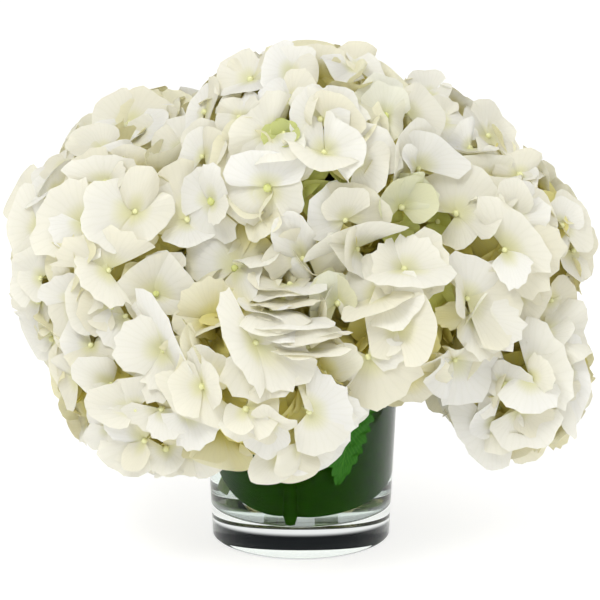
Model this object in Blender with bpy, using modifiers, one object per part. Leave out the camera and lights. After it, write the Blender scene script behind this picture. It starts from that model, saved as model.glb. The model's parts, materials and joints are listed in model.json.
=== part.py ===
"""White hydrangeas in a leaf-lined glass vase, at real size.

Metres, +Z up. The origin is the centre of the vase's flat base, and the front of the bouquet faces -Y.
Lengths are written in millimetres and multiplied by MM. Angles round the vase are in degrees, with 0 at
the front and 90 at the right, as seen from the front.
"""

import math
import random

import bmesh
import bpy
from mathutils import Matrix, Vector

MM = 0.001

# The vase: a pressed glass cylinder that widens a little towards its rim, with a heavy base.
VASE_HEIGHT = 115 * MM
VASE_BASE_RADIUS = 50.9 * MM
VASE_FLARE = 0.045
VASE_WALL = 3.2 * MM
VASE_FLOOR = 19 * MM
BASE_TAPER = 4 * MM
BASE_TAPER_HEIGHT = 9 * MM
BASE_CORNER = 1.2 * MM
FLOOR_FILLET = 3 * MM
RIM_ROUNDING = VASE_WALL / 2
TURNED_STEPS = 48

# Touching pieces keep this gap.
GAP = 0.3 * MM

# The water's level, well below the rim.
WATER_LEVEL = 96 * MM

# The broad smooth leaf wrapped round the inside of the glass. Its midrib stands upright at the front and
# its outline is an ellipse, wider to the right. The midrib's cut foot reaches down below the blade.
LINING_THICKNESS = 0.9 * MM
LINING_MIDRIB_ANGLE = -7.5
LINING_LEFT = 67.5
LINING_RIGHT = 127.5
LINING_MIDDLE = 66.2 * MM
LINING_HALF_HEIGHT = 41.7 * MM
RIB_FOOT_RADIUS = 3.4 * MM
RIB_TOP_RADIUS = 1.5 * MM
RIB_FOOT = 21 * MM
RIB_TOP = 98 * MM
RIB_INSET = 0.8 * MM

# The toothed hydrangea leaf that hangs over the rim, outside the glass, from the stem of the middle head.
LEAF_HALF_WIDTH = 15 * MM
LEAF_THICKNESS = 0.8 * MM
LEAF_BASE_ANGLE = 38.0
LEAF_TIP_ANGLE = 21.0
LEAF_BASE_HEIGHT = 117 * MM
LEAF_TIP_HEIGHT = 45 * MM
LEAF_CLEARANCE = 2.6 * MM
VASE_ROOM = 5 * MM
LEAF_TEETH = 9
LEAF_TOOTH_DEPTH = 0.2
LEAF_BEARER = "middle"
PETIOLE_RADIUS = 1.6 * MM
PETIOLE_BEND = (4.5 * MM, 118.5 * MM)

# Florets, larger than life, so that few of them cover a head. Shares are of the head's reach.
FLORET_SHARE = 0.40
FLORET_THICKNESS = 0.9 * MM
FLORET_CUP = 2.6 * MM
SEPAL_TWIST = 0.9 * MM
SEAT_SHARE = 0.92
SEAT_ROOM = 5 * MM
PRESSED_SPREAD = 1.6 * MM
CORE_SHARE = 0.62
PEDICEL_FOOT_RADIUS = 3.2 * MM
PEDICEL_TIP_RADIUS = 1.4 * MM
PEDICEL_SUNK = 5 * MM
LATTICE = 17
LATTICE_TRIES = 16

# Every hydrangea head: its centre and the reach of its sepals, in millimetres.
HEADS = {
    "top": ((3, -18, 213), 73),
    "left": ((-97, -20, 172), 59),
    "right": ((99, 0, 168), 60),
    "low_left": ((-79, -42, 109), 54),
    "low_right": ((122, -26, 95), 39),
    "front": ((-21, -80, 121), 51),
    "middle": ((49, -62, 144), 44),
    "back_left": ((-80, 56, 182), 61),
    "back_right": ((65, 50, 198), 57),
    "back": ((4, 76, 158), 63),
}

# Every stem: where its cut foot stands in the water, where it passes the neck of the vase, and for a
# head that droops beside the vase, where it crosses the rim. Millimetres. The feet end behind the leaf.
STEM_RADIUS = 3.6 * MM
FOOT_HEIGHT = 28 * MM
STEM_SUNK = 12 * MM
NECK_HEIGHT = 102 * MM
STEMS = {
    "top": {"foot": (-38, -8), "neck": (1, 1)},
    "left": {"foot": (-24, 22), "neck": (-31, 3)},
    "right": {"foot": (33, -6), "neck": (32, 3)},
    "low_left": {"foot": (-22, -25), "neck": (-29, -16), "rim": (-49, -27, 125)},
    "low_right": {"foot": (15, -30), "neck": (31, -16), "rim": (52, -20, 126)},
    "front": {"foot": (-5, -34), "neck": (0, -33), "rim": (-12, -51, 122)},
    "middle": {"foot": (6, -22), "neck": (17, -27)},
    "back_left": {"foot": (-8, 32), "neck": (-24, 27)},
    "back_right": {"foot": (26, 20), "neck": (27, 22)},
    "back": {"foot": (8, 36), "neck": (3, 33)},
}

PETAL_WHITE = (0.93, 0.93, 0.86, 1.0)
STEM_GREEN = (0.30, 0.46, 0.12, 1.0)
LINING_GREEN = (0.03, 0.12, 0.015, 1.0)
GLASS_CLEAR = (0.93, 0.96, 0.95, 1.0)
WATER_CLEAR = (0.85, 0.92, 0.92, 1.0)


def start_clean():
    """Empties the scene and returns the collections for the bouquet's pieces and for the cutters."""
    for obj in list(bpy.data.objects):
        bpy.data.objects.remove(obj)
    made = []
    for name in ("hydrangeas_in_a_vase", "cutters"):
        collection = bpy.data.collections.new(name)
        bpy.context.scene.collection.children.link(collection)
        made.append(collection)
    return made


def material(name, colour, roughness, transmission=0.0):
    """A Principled BSDF of one colour."""
    made = bpy.data.materials.new(name)
    made.use_nodes = True
    shader = made.node_tree.nodes["Principled BSDF"]
    shader.inputs["Base Color"].default_value = colour
    shader.inputs["Roughness"].default_value = roughness
    shader.inputs["Transmission Weight"].default_value = transmission
    return made


def add_object(name, data, collection, finish=None):
    """Links an object and gives its mesh or curve one material."""
    obj = bpy.data.objects.new(name, data)
    collection.objects.link(obj)
    if finish is not None:
        data.materials.append(finish)
    return obj


def mesh_from(bm, name):
    """Turns a bmesh into a mesh and frees it."""
    mesh = bpy.data.meshes.new(name)
    bm.to_mesh(mesh)
    bm.free()
    return mesh


def as_mesh_object(source, collection, finish=None):
    """Replaces an object by the mesh it evaluates to, with its doubles merged."""
    bpy.context.view_layer.update()
    graph = bpy.context.evaluated_depsgraph_get()
    mesh = bpy.data.meshes.new_from_object(source.evaluated_get(graph))
    bm = bmesh.new()
    bm.from_mesh(mesh)
    bmesh.ops.remove_doubles(bm, verts=bm.verts, dist=0.01 * MM)
    bm.to_mesh(mesh)
    bm.free()
    name, matrix = source.name, source.matrix_world.copy()
    bpy.data.objects.remove(source)
    mesh.materials.clear()
    made = add_object(name, mesh, collection, finish)
    made.matrix_world = matrix
    return made


def outer_radius(z):
    """The vase's outer radius at a height."""
    return VASE_BASE_RADIUS + VASE_FLARE * z


def inner_radius(z):
    """The vase's inner radius at a height."""
    return outer_radius(z) - VASE_WALL


def round_vase(angle, radius, z):
    """The point at an angle from the front, a distance from the axis and a height."""
    turn = math.radians(angle)
    return Vector((radius * math.sin(turn), -radius * math.cos(turn), z))


def arc(centre, radius, start, end, steps):
    """Points along an arc in the (radius, height) plane, angles in degrees."""
    angles = [math.radians(start + (end - start) * i / steps) for i in range(steps + 1)]
    return [(centre[0] + radius * math.cos(a), centre[1] + radius * math.sin(a)) for a in angles]


def turned(name, profile, collection, finish):
    """A solid of revolution from a profile that runs down its outer side."""
    bm = bmesh.new()
    verts = [bm.verts.new((radius, 0, z)) for radius, z in profile]
    for one, two in zip(verts, verts[1:]):
        bm.edges.new((one, two))
    obj = add_object(name, mesh_from(bm, name), collection, finish)
    screw = obj.modifiers.new("turn", "SCREW")
    screw.steps = screw.render_steps = TURNED_STEPS
    screw.use_merge_vertices = True
    screw.merge_threshold = 0.01 * MM
    return obj


def make_vase(parts, finish):
    """Inner floor and wall, rounded rim, outer wall, and a base that draws in to a small corner."""
    lip_z = VASE_HEIGHT - RIM_ROUNDING
    lip_r = inner_radius(lip_z) + RIM_ROUNDING
    fillet_z = VASE_FLOOR + FLOOR_FILLET
    fillet_r = inner_radius(fillet_z) - FLOOR_FILLET
    drawn_in = []
    for step in (0, 1 / 3, 2 / 3):
        z = BASE_TAPER_HEIGHT * (1 - step)
        drawn_in.append((outer_radius(z) - BASE_TAPER * step**2, z))
    foot_r = outer_radius(0) - BASE_TAPER
    profile = [(0, VASE_FLOOR)]
    profile += arc((fillet_r, fillet_z), FLOOR_FILLET, -90, 0, 2)
    profile += arc((lip_r, lip_z), RIM_ROUNDING, 180, 0, 4)
    profile += [*drawn_in, (foot_r, BASE_CORNER), (foot_r - BASE_CORNER, 0), (0, 0)]
    vase = turned("vase", profile, parts, finish)
    vase.data.shade_smooth()
    return vase


def rib_rod(name, margin, parts, finish=None):
    """The lining leaf's midrib as a tapered rod that leans with the glass, wider by a margin."""
    wall = [inner_radius(z) - RIB_INSET for z in (RIB_FOOT, RIB_TOP)]
    foot = round_vase(LINING_MIDRIB_ANGLE, wall[0] - RIB_FOOT_RADIUS, RIB_FOOT - 2 * margin)
    top = round_vase(LINING_MIDRIB_ANGLE, wall[1] - RIB_TOP_RADIUS, RIB_TOP + 2 * margin)
    place = Matrix.Translation((foot + top) / 2) @ (top - foot).to_track_quat("Z", "Y").to_matrix().to_4x4()
    bm = bmesh.new()
    bmesh.ops.create_cone(
        bm,
        cap_ends=True,
        segments=10,
        radius1=RIB_FOOT_RADIUS + margin,
        radius2=RIB_TOP_RADIUS + margin,
        depth=(top - foot).length,
        matrix=place,
    )
    return add_object(name, mesh_from(bm, name), parts, finish)


def make_lining_leaf(parts, finish):
    """A blade that follows the glass round from its midrib at the front to its two ends, with the midrib."""
    columns = 26
    bm = bmesh.new()
    bmesh.ops.create_grid(bm, x_segments=columns, y_segments=3, size=0.5)
    for vert in bm.verts:
        angle = -LINING_LEFT + (LINING_LEFT + LINING_RIGHT) * (vert.co.x + 0.5)
        side = min(abs(angle) / (LINING_RIGHT if angle > 0 else LINING_LEFT), 0.98)
        z = LINING_MIDDLE + 2 * vert.co.y * LINING_HALF_HEIGHT * math.sqrt(1 - side**2)
        vert.co = round_vase(LINING_MIDRIB_ANGLE + angle, inner_radius(z) - GAP - LINING_THICKNESS / 2, z)
    blade = add_object("blade", mesh_from(bm, "blade"), parts, finish)
    shell = blade.modifiers.new("thickness", "SOLIDIFY")
    shell.thickness = LINING_THICKNESS
    shell.offset = 0
    blade = as_mesh_object(blade, parts, finish)
    blade.name = blade.data.name = "lining_leaf"
    midrib = rib_rod("midrib", 0, parts, finish)
    parts.objects.unlink(midrib)
    join(blade, [midrib])
    return blade


def join(base, pieces, cutters=()):
    """Unites the pieces with the base and then cuts it, as applied Booleans, and removes the pieces."""
    joined = bpy.data.collections.new("joined")
    bpy.context.scene.collection.children.link(joined)
    for piece in pieces:
        joined.objects.link(piece)
    if pieces:
        union = base.modifiers.new("union", "BOOLEAN")
        union.operation = "UNION"
        union.operand_type = "COLLECTION"
        union.collection = joined
        union.solver = "MANIFOLD"
    for cutter in cutters:
        cut = base.modifiers.new("cut", "BOOLEAN")
        cut.operation = "DIFFERENCE"
        cut.object = cutter
        cut.solver = "MANIFOLD"
    bpy.context.view_layer.update()
    graph = bpy.context.evaluated_depsgraph_get()
    mesh = bpy.data.meshes.new_from_object(base.evaluated_get(graph))
    base.modifiers.clear()
    base.data = mesh
    for piece in pieces:
        bpy.data.objects.remove(piece)
    bpy.data.collections.remove(joined)


def make_water(parts, finish, stem_holes):
    """Still water: full width below the leaf and inside it above, with holes for the midrib and the stems."""
    step_z = LINING_MIDDLE - LINING_HALF_HEIGHT - 2 * GAP
    inset = LINING_THICKNESS + 2 * GAP
    low_z = VASE_FLOOR + GAP
    fillet_z = VASE_FLOOR + FLOOR_FILLET
    profile = [(0, WATER_LEVEL), (inner_radius(WATER_LEVEL) - inset, WATER_LEVEL)]
    profile += [(inner_radius(step_z) - inset, step_z), (inner_radius(step_z) - GAP, step_z)]
    profile += [(inner_radius(fillet_z) - 2 * GAP, fillet_z + GAP)]
    profile += [(inner_radius(low_z) - FLOOR_FILLET, low_z), (0, low_z)]
    water = as_mesh_object(turned("water", profile, parts, finish), parts, finish)
    join(water, [], stem_holes)
    return water


def smooth_route(points, steps):
    """A Catmull-Rom curve through the points, read at equal steps of each span."""
    padded = [2 * points[0] - points[1], *points, 2 * points[-1] - points[-2]]
    route = []
    for a, b, c, d in zip(padded, padded[1:], padded[2:], padded[3:]):
        for i in range(steps):
            t = i / steps
            route.append(
                0.5
                * (
                    2 * b
                    + (c - a) * t
                    + (2 * a - 5 * b + 4 * c - d) * t * t
                    + (3 * b - 3 * c + d - a) * t * t * t
                )
            )
    return [*route, points[-1]]


def stem_route(name):
    """The stem's line from its foot on the floor to its end inside the head's core."""
    centre, _ = head_size(name)
    plan = STEMS[name]
    neck = Vector((*plan["neck"], 0)) * MM + Vector((0, 0, NECK_HEIGHT))
    foot = Vector((*plan["foot"], 0)) * MM + Vector((0, 0, FOOT_HEIGHT))
    bends = [neck]
    if "rim" in plan:
        bends.append(Vector(plan["rim"]) * MM)
    inward = (bends[-1] - centre).normalized()
    return [foot, *smooth_route([*bends, centre + inward * (core_radius(name) - STEM_SUNK)], 3)]


def tube(name, route, radius, collection, finish=None):
    """A round rod along a route, as a closed mesh."""
    curve = bpy.data.curves.new(name, "CURVE")
    curve.dimensions = "3D"
    curve.bevel_depth = radius
    curve.bevel_resolution = 1
    curve.use_fill_caps = True
    spline = curve.splines.new("POLY")
    spline.points.add(len(route) - 1)
    for point, place in zip(spline.points, route):
        point.co = (*place, 1)
    return as_mesh_object(add_object(name, curve, collection), collection, finish)


def stem_hole(name, route, cutters):
    """The cutter for a stem's socket in its head and its hole in the water, wider and longer by the gap."""
    below = route[0] + (route[0] - route[1]).normalized() * GAP
    beyond = route[-1] + (route[-1] - route[-2]).normalized() * GAP
    return tube(f"hole_{name}", [below, *route[1:-1], beyond], STEM_RADIUS + GAP, cutters)


def stalk_route():
    """The line of the toothed leaf's stalk, from its stem above the rim to the blade outside the glass."""
    joint = stem_route(LEAF_BEARER)[3]
    out, z = PETIOLE_BEND
    over_rim = round_vase(LEAF_BASE_ANGLE, outer_radius(VASE_HEIGHT) + out, z)
    blade = round_vase(LEAF_BASE_ANGLE, outer_radius(VASE_HEIGHT) + LEAF_CLEARANCE, LEAF_BASE_HEIGHT - 2 * MM)
    return smooth_route([joint, over_rim, blade], 3)


def leaf_blade():
    """The toothed leaf's surface, bent round the outside of the glass."""
    rows = 2 * LEAF_TEETH
    bm = bmesh.new()
    bmesh.ops.create_grid(bm, x_segments=4, y_segments=rows, size=0.5)
    for vert in bm.verts:
        across = 2 * vert.co.x
        row = round((vert.co.y + 0.5) * rows)
        along = row / rows
        tooth = 1 + LEAF_TOOTH_DEPTH * (-1) ** row * (abs(across) > 0.9) * (0 < row < rows)
        half = LEAF_HALF_WIDTH * math.sin(math.pi * (0.04 + 0.94 * along) ** 0.8) ** 0.8 * tooth
        z = LEAF_BASE_HEIGHT + (LEAF_TIP_HEIGHT - LEAF_BASE_HEIGHT) * along
        angle = LEAF_BASE_ANGLE + (LEAF_TIP_ANGLE - LEAF_BASE_ANGLE) * along
        lift = LEAF_CLEARANCE + 1.2 * MM * abs(across) + 0.8 * MM * math.sin(9 * along)
        radius = outer_radius(min(z, VASE_HEIGHT)) + lift
        angle += math.degrees(across * half / radius)
        vert.co = round_vase(angle, radius, z)
    return bm


def make_stem(name, parts, finish):
    """One stem. The middle head's carries the toothed leaf on its stalk."""
    stem = tube(f"stem_{name}", stem_route(name), STEM_RADIUS, parts, finish)
    if name != LEAF_BEARER:
        return stem
    blade = add_object("blade", mesh_from(leaf_blade(), "blade"), parts, finish)
    shell = blade.modifiers.new("thickness", "SOLIDIFY")
    shell.thickness = LEAF_THICKNESS
    shell.offset = 0
    blade = as_mesh_object(blade, parts, finish)
    stalk = tube("stalk", stalk_route(), PETIOLE_RADIUS, parts, finish)
    for piece in (blade, stalk):
        parts.objects.unlink(piece)
    join(stem, [blade, stalk])
    return stem


def head_size(name):
    """A head's centre and reach, in metres."""
    centre, reach = HEADS[name]
    return Vector(centre) * MM, reach * MM


def cell_walls(name):
    """The planes that part a head from its neighbours: outward normals and distances from the centre."""
    centre, reach = head_size(name)
    walls = []
    for other in HEADS:
        far_centre, far_reach = head_size(other)
        apart = far_centre - centre
        if other != name and apart.length < reach + far_reach + 4 * FLORET_CUP:
            share = 0.5 + (reach**2 - far_reach**2) / (2 * apart.length_squared)
            walls.append((apart.normalized(), share * apart.length))
    return walls


def vase_room(point):
    """How far a point stands outside the vase's wall, or above its rim."""
    return max(math.hypot(point.x, point.y) - outer_radius(point.z), point.z - VASE_HEIGHT)


def room_in_cell(name, point):
    """How far inside its head's cell a point lies, and clear of the vase."""
    centre, _ = head_size(name)
    rooms = [distance - (point - centre).dot(normal) for normal, distance in cell_walls(name)]
    return min([*rooms, vase_room(point) - VASE_ROOM])


def bent_clear(name, point, room):
    """The point, moved as little as brings it inside its head's cell by this room, and clear of the vase."""
    centre, _ = head_size(name)
    point = point.copy()
    for _ in range(6):
        for normal, distance in cell_walls(name):
            over = (point - centre).dot(normal) - (distance - room)
            if over > 0:
                point -= normal * over
    aside = math.hypot(point.x, point.y)
    wall = outer_radius(point.z) + VASE_ROOM + room
    if aside < wall and point.z < VASE_HEIGHT + VASE_ROOM + room:
        if wall - aside < VASE_HEIGHT + VASE_ROOM + room - point.z:
            point.xy = point.xy * wall / aside
        else:
            point.z = VASE_HEIGHT + VASE_ROOM + room
    return point


def core_radius(name):
    """The core of a head, kept clear of its neighbours and of the vase."""
    centre, reach = head_size(name)
    from_walls = min(distance for _, distance in cell_walls(name)) - GAP
    aside = max(0, centre.xy.length - outer_radius(VASE_HEIGHT))
    from_rim = math.hypot(aside, max(0, centre.z - VASE_HEIGHT)) - LEAF_CLEARANCE
    return min(CORE_SHARE * reach, from_walls, from_rim)


def near_stem(point, routes):
    """The distance from a point to the nearest stem's surface."""
    nearest = 1.0
    for route in routes:
        for a, b in zip(route, route[1:]):
            along = max(0.0, min(1.0, (point - a).dot(b - a) / (b - a).length_squared))
            nearest = min(nearest, (point - a - (b - a) * along).length)
    return nearest - STEM_RADIUS


def floret_surface(size):
    """Four broad sepals round one eye. Each rises across its width, so that it overlaps the next."""
    # Each sepal's outline: angle from its own middle, reach and rise, as shares.
    outline = [(-44, 0.68, -1.0), (-27, 0.97, -0.5), (0, 1.05, 0.0), (28, 0.97, 0.8)]
    segments = 4 * len(outline)
    bm = bmesh.new()
    bmesh.ops.create_circle(bm, cap_ends=True, cap_tris=True, segments=segments, radius=1.0)
    for vert in bm.verts:
        if vert.co.length < 0.5:
            vert.co = (0, 0, 0)
            continue
        index = round(math.atan2(vert.co.y, vert.co.x) / (2 * math.pi) * segments) % segments
        sepal, place = divmod(index, len(outline))
        turn, far, rise = outline[place]
        angle = math.radians(90 * sepal + turn)
        z = FLORET_CUP * far**2 + SEPAL_TWIST * rise
        vert.co = (size * far * math.cos(angle), size * far * math.sin(angle), z)
    bmesh.ops.recalc_face_normals(bm, faces=bm.faces)
    return bm


def lattice_directions(count, turn):
    """Evenly spread directions by the golden angle, all turned together."""
    golden = math.pi * (3 - math.sqrt(5))
    made = []
    for i in range(count):
        z = 1 - 2 * (i + 0.5) / count
        ring = math.sqrt(1 - z * z)
        made.append(turn @ Vector((ring * math.cos(golden * i), ring * math.sin(golden * i), z)))
    return made


def free_places(name, directions, routes):
    """The directions in which a floret fits, clear of all that surrounds the head."""
    centre, reach = head_size(name)
    free = []
    for direction in directions:
        seat = centre + direction * reach * SEAT_SHARE
        across = direction.orthogonal().normalized() * reach * FLORET_SHARE
        rim = [seat + Matrix.Rotation(math.radians(30 * k), 3, direction) @ across for k in range(12)]
        if room_in_cell(name, seat) < SEAT_ROOM:
            continue
        if min(near_stem(point, routes) for point in [*rim, seat, (seat + centre) / 2]) > 4 * MM:
            free.append(direction)
    return free


def make_head(name, parts, finish, routes, hole, draw):
    """A round core with florets all over its free side, each on its own short stalk."""
    centre, reach = head_size(name)
    core = core_radius(name)
    bm = bmesh.new()
    bmesh.ops.create_icosphere(bm, subdivisions=2, radius=core)
    head = add_object(f"head_{name}", mesh_from(bm, f"head_{name}"), parts, finish)
    head.location = centre
    tries = []
    for _ in range(LATTICE_TRIES):
        turn = Matrix.Rotation(draw.uniform(0, math.pi), 3, "X")
        turn @= Matrix.Rotation(draw.uniform(0, math.pi), 3, "Y")
        tries.append(free_places(name, lattice_directions(LATTICE, turn), routes))
    pieces = []
    for direction in max(tries, key=len):
        place = Matrix.Translation(centre + direction * reach * SEAT_SHARE)
        place @= direction.to_track_quat("Z", "Y").to_matrix().to_4x4()
        place @= Matrix.Rotation(draw.uniform(0, math.pi / 2), 4, "Z")
        bm = floret_surface(reach * FLORET_SHARE * draw.uniform(0.94, 1.04))
        bm.transform(place)
        # Each floret keeps its own room, so that no two lie in one plane.
        room = GAP + FLORET_THICKNESS + draw.uniform(0, PRESSED_SPREAD)
        for vert in bm.verts:
            vert.co = bent_clear(name, vert.co, room)
        # A floret whose sepals would still cut the vase or a stem between their corners is left out.
        middles = [(edge.verts[0].co + edge.verts[1].co) / 2 for edge in bm.edges]
        if min(vase_room(point) for point in middles) < VASE_ROOM / 2 or min(
            near_stem(point, routes) for point in middles
        ) < 2 * FLORET_THICKNESS:
            bm.free()
            continue
        floret = add_object("floret", mesh_from(bm, "floret"), parts, finish)
        shell = floret.modifiers.new("thickness", "SOLIDIFY")
        shell.thickness = FLORET_THICKNESS
        shell.offset = 0
        pieces.append(as_mesh_object(floret, parts, finish))
        length = reach * SEAT_SHARE - core + PEDICEL_SUNK
        bm = bmesh.new()
        bmesh.ops.create_cone(
            bm,
            cap_ends=True,
            segments=3,
            radius1=PEDICEL_FOOT_RADIUS,
            radius2=PEDICEL_TIP_RADIUS,
            depth=length,
            matrix=place @ Matrix.Translation((0, 0, FLORET_THICKNESS / 4 - length / 2)),
        )
        pieces.append(add_object("pedicel", mesh_from(bm, "pedicel"), parts, finish))
    for piece in pieces:
        parts.objects.unlink(piece)
    join(head, pieces, [hole])
    return head


def main():
    parts, cutters = start_clean()
    cutters.hide_render = True
    glass = material("clear_glass", GLASS_CLEAR, 0.02, 1.0)
    still_water = material("still_water", WATER_CLEAR, 0.0, 1.0)
    petal = material("white_sepal", PETAL_WHITE, 0.55)
    stem_skin = material("green_stem", STEM_GREEN, 0.45)
    leaf_skin = material("dark_leaf", LINING_GREEN, 0.35)

    make_vase(parts, glass)
    make_lining_leaf(parts, leaf_skin)
    routes = {name: stem_route(name) for name in STEMS}
    holes = {name: stem_hole(name, route, cutters) for name, route in routes.items()}
    for name in STEMS:
        make_stem(name, parts, stem_skin)
    groove = rib_rod("groove", GAP, cutters)
    make_water(parts, still_water, [groove, *holes.values()])
    draw = random.Random(11)
    for name in HEADS:
        make_head(name, parts, petal, [*routes.values(), stalk_route()], holes[name], draw)
    for cutter in cutters.objects:
        cutter.hide_render = True
        cutter.display_type = "WIRE"


main()
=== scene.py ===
# %% [markdown]
# # White hydrangeas in a leaf-lined glass vase
# This lesson dresses a bouquet that a CAD model has already laid out. The model says where every head,
# stem, leaf and wall of glass is. What is made here is what the eye sees: thin sepals with veins, wet
# leaves and clear glass. Each step says first what the real thing is like and why it is made this way.

# %% The frame and its size
import functools
import json
import math
import random

import bmesh
import bpy
import numpy as np
from mathutils import Matrix, Vector

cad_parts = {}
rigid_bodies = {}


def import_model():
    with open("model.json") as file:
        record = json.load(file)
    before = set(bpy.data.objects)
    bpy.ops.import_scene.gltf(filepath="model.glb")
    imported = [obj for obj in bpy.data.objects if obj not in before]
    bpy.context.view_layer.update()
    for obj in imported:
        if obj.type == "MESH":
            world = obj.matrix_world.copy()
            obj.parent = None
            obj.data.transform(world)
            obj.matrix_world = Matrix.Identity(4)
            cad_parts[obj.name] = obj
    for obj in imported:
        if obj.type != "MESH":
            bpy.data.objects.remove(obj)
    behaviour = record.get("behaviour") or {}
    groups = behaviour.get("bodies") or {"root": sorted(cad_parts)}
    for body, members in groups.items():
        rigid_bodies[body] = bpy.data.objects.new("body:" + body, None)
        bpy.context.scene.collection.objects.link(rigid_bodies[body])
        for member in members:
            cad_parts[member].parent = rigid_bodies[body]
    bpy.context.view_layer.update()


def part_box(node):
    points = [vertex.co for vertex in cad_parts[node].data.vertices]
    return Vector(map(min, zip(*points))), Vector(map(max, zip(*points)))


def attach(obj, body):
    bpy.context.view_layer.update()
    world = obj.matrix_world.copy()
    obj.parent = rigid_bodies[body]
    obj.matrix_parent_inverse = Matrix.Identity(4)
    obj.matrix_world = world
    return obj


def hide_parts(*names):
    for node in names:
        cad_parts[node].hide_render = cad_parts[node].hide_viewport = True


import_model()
MM = 0.001

# %% [markdown]
# Two helpers serve the whole lesson. Colours are written as sRGB hex, as a paint program shows them, and
# Blender wants linear light, so one function turns them. The other adds a node with its settings and
# links, so that a material or a geometry tree reads as a list of what it does. A pattern's scale counts
# its grains in a metre, so it is written as a number of grains a millimetre.

# %% Helpers for colours and nodes
SHARE, FROM, TO = 0, 6, 7  # the sockets of a Mix node that mixes colours


def linear(hex_colour):
    """An sRGB hex colour as linear RGBA."""
    shares = [int(hex_colour[i : i + 2], 16) / 255 for i in (1, 3, 5)]
    return [s / 12.92 if s <= 0.04045 else ((s + 0.055) / 1.055) ** 2.4 for s in shares] + [1.0]


def add_node(tree, kind, inputs=None, **settings):
    """Adds a node. Its inputs are values, sockets, or nodes whose first live output feeds them."""
    made = tree.nodes.new(kind)
    for name, value in settings.items():
        setattr(made, name, value)
    for name, value in (inputs or {}).items():
        if isinstance(value, bpy.types.Node):
            value = next(output for output in value.outputs if output.enabled)
        if isinstance(value, bpy.types.NodeSocket):
            tree.links.new(value, made.inputs[name])
        else:
            made.inputs[name].default_value = value
    return made


def new_material(name):
    """A material with an empty tree, and add_node for that tree."""
    made = bpy.data.materials.new(name)
    made.use_nodes = True
    made.node_tree.nodes.clear()
    return made, functools.partial(add_node, made.node_tree)


# %% [markdown]
# The photograph looks down at the bouquet by about 15 degrees, through a long lens: the ellipse of the
# vase's base is a third as tall as it is wide, so there the view falls by 19 degrees. The camera stands
# where that view comes from.

# %% Camera
LOOK_AT = Vector((-0.0006, 0, 0.1376))
CAMERA_DISTANCE = 1.9
CAMERA_ELEVATION = math.radians(15)
FOCAL_PIXELS = 3360
FRAME_PIXELS = 600
SENSOR_MM = 36

camera_data = bpy.data.cameras.new("camera")
camera_data.sensor_width = SENSOR_MM
camera_data.lens = SENSOR_MM * FOCAL_PIXELS / FRAME_PIXELS
camera = bpy.data.objects.new("camera", camera_data)
bpy.context.scene.collection.objects.link(camera)
view_back = Vector((0, -math.cos(CAMERA_ELEVATION), math.sin(CAMERA_ELEVATION)))
camera.location = LOOK_AT + view_back * CAMERA_DISTANCE
camera.rotation_euler = view_back.to_track_quat("Z", "Y").to_euler()
bpy.context.scene.camera = camera
view_right = Vector((1, 0, 0))
view_up = view_back.cross(view_right).normalized()
print("lens", round(camera_data.lens), "mm")

# %% [markdown]
# A white object on white needs soft light from all round. The world is a white studio with a dark band
# all round above the horizon, like the gap between a real studio's screens and its ceiling. Clear glass
# shows only what it mirrors and bends, and that dark band is what draws the grey lines in it.

# %% World
SCREENS = ((0.0, "#ffffff"), (0.235, "#f0f0f0"), (0.285, "#1c1e20"), (0.55, "#242628"), (0.78, "#ffffff"))
world = bpy.data.worlds.new("studio")
world.use_nodes = True
bpy.context.scene.world = world
world.node_tree.nodes.clear()
add = functools.partial(add_node, world.node_tree)
direction = add("ShaderNodeTexCoord").outputs["Generated"]
split = add("ShaderNodeSeparateXYZ", {"Vector": direction})
screens = add("ShaderNodeValToRGB", {"Fac": split.outputs["Z"]})
ramp = screens.color_ramp
ramp.interpolation = "EASE"
for height, colour in SCREENS[1:-1]:
    ramp.elements.new(height).color = linear(colour)
ramp.elements[0].color = linear(SCREENS[0][1])
ramp.elements[-1].position = SCREENS[-1][0]
ramp.elements[-1].color = linear(SCREENS[-1][1])
backdrop = add("ShaderNodeBackground", {"Color": screens, "Strength": 1.0})
add("ShaderNodeOutputWorld", {"Surface": backdrop})
print(len(SCREENS), "heights in the studio's light")

# %% [markdown]
# Two lamps at the front give the sepals their form, the stronger one from the left. Four wide screens
# even out the light round the bouquet. Glass neither mirrors the screens nor lets them be seen through
# it, because their white images would wash out its dark lines.

# %% Lamps and screens
LAMPS = (
    {"name": "key_lamp", "place": (-0.65, -1.1, 1.5), "power": 12.8, "width": 0.6, "seen": True},
    {"name": "fill_lamp", "place": (1.1, -1.1, 1.3), "power": 4.0, "width": 1.0, "seen": True},
    {"name": "front_screen", "place": (0, -2.4, 1.2), "power": 9.0, "width": 2.6, "seen": False},
    {"name": "left_screen", "place": (-2.2, 0.1, 1.5), "power": 4.0, "width": 2.4, "seen": False},
    {"name": "right_screen", "place": (2.2, 0.1, 1.3), "power": 6.5, "width": 2.4, "seen": False},
    {"name": "back_screen", "place": (0, 2.4, 1.2), "power": 5.0, "width": 2.4, "seen": False},
)
for plan in LAMPS:
    data = bpy.data.lights.new(plan["name"], "AREA")
    data.energy = plan["power"]
    data.size = plan["width"]
    lamp = bpy.data.objects.new(plan["name"], data)
    lamp.location = plan["place"]
    lamp.rotation_euler = (Vector(plan["place"]) - LOOK_AT).to_track_quat("Z", "Y").to_euler()
    lamp.visible_glossy = lamp.visible_transmission = plan["seen"]
    bpy.context.scene.collection.objects.link(lamp)
print(len(LAMPS), "lamps and screens")

# %% [markdown]
# The photograph's white is plain white, so no filmic curve may grey it. Light has to cross many walls of
# glass, water and thin sepals, which asks for more bounces than Blender gives by itself.

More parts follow.
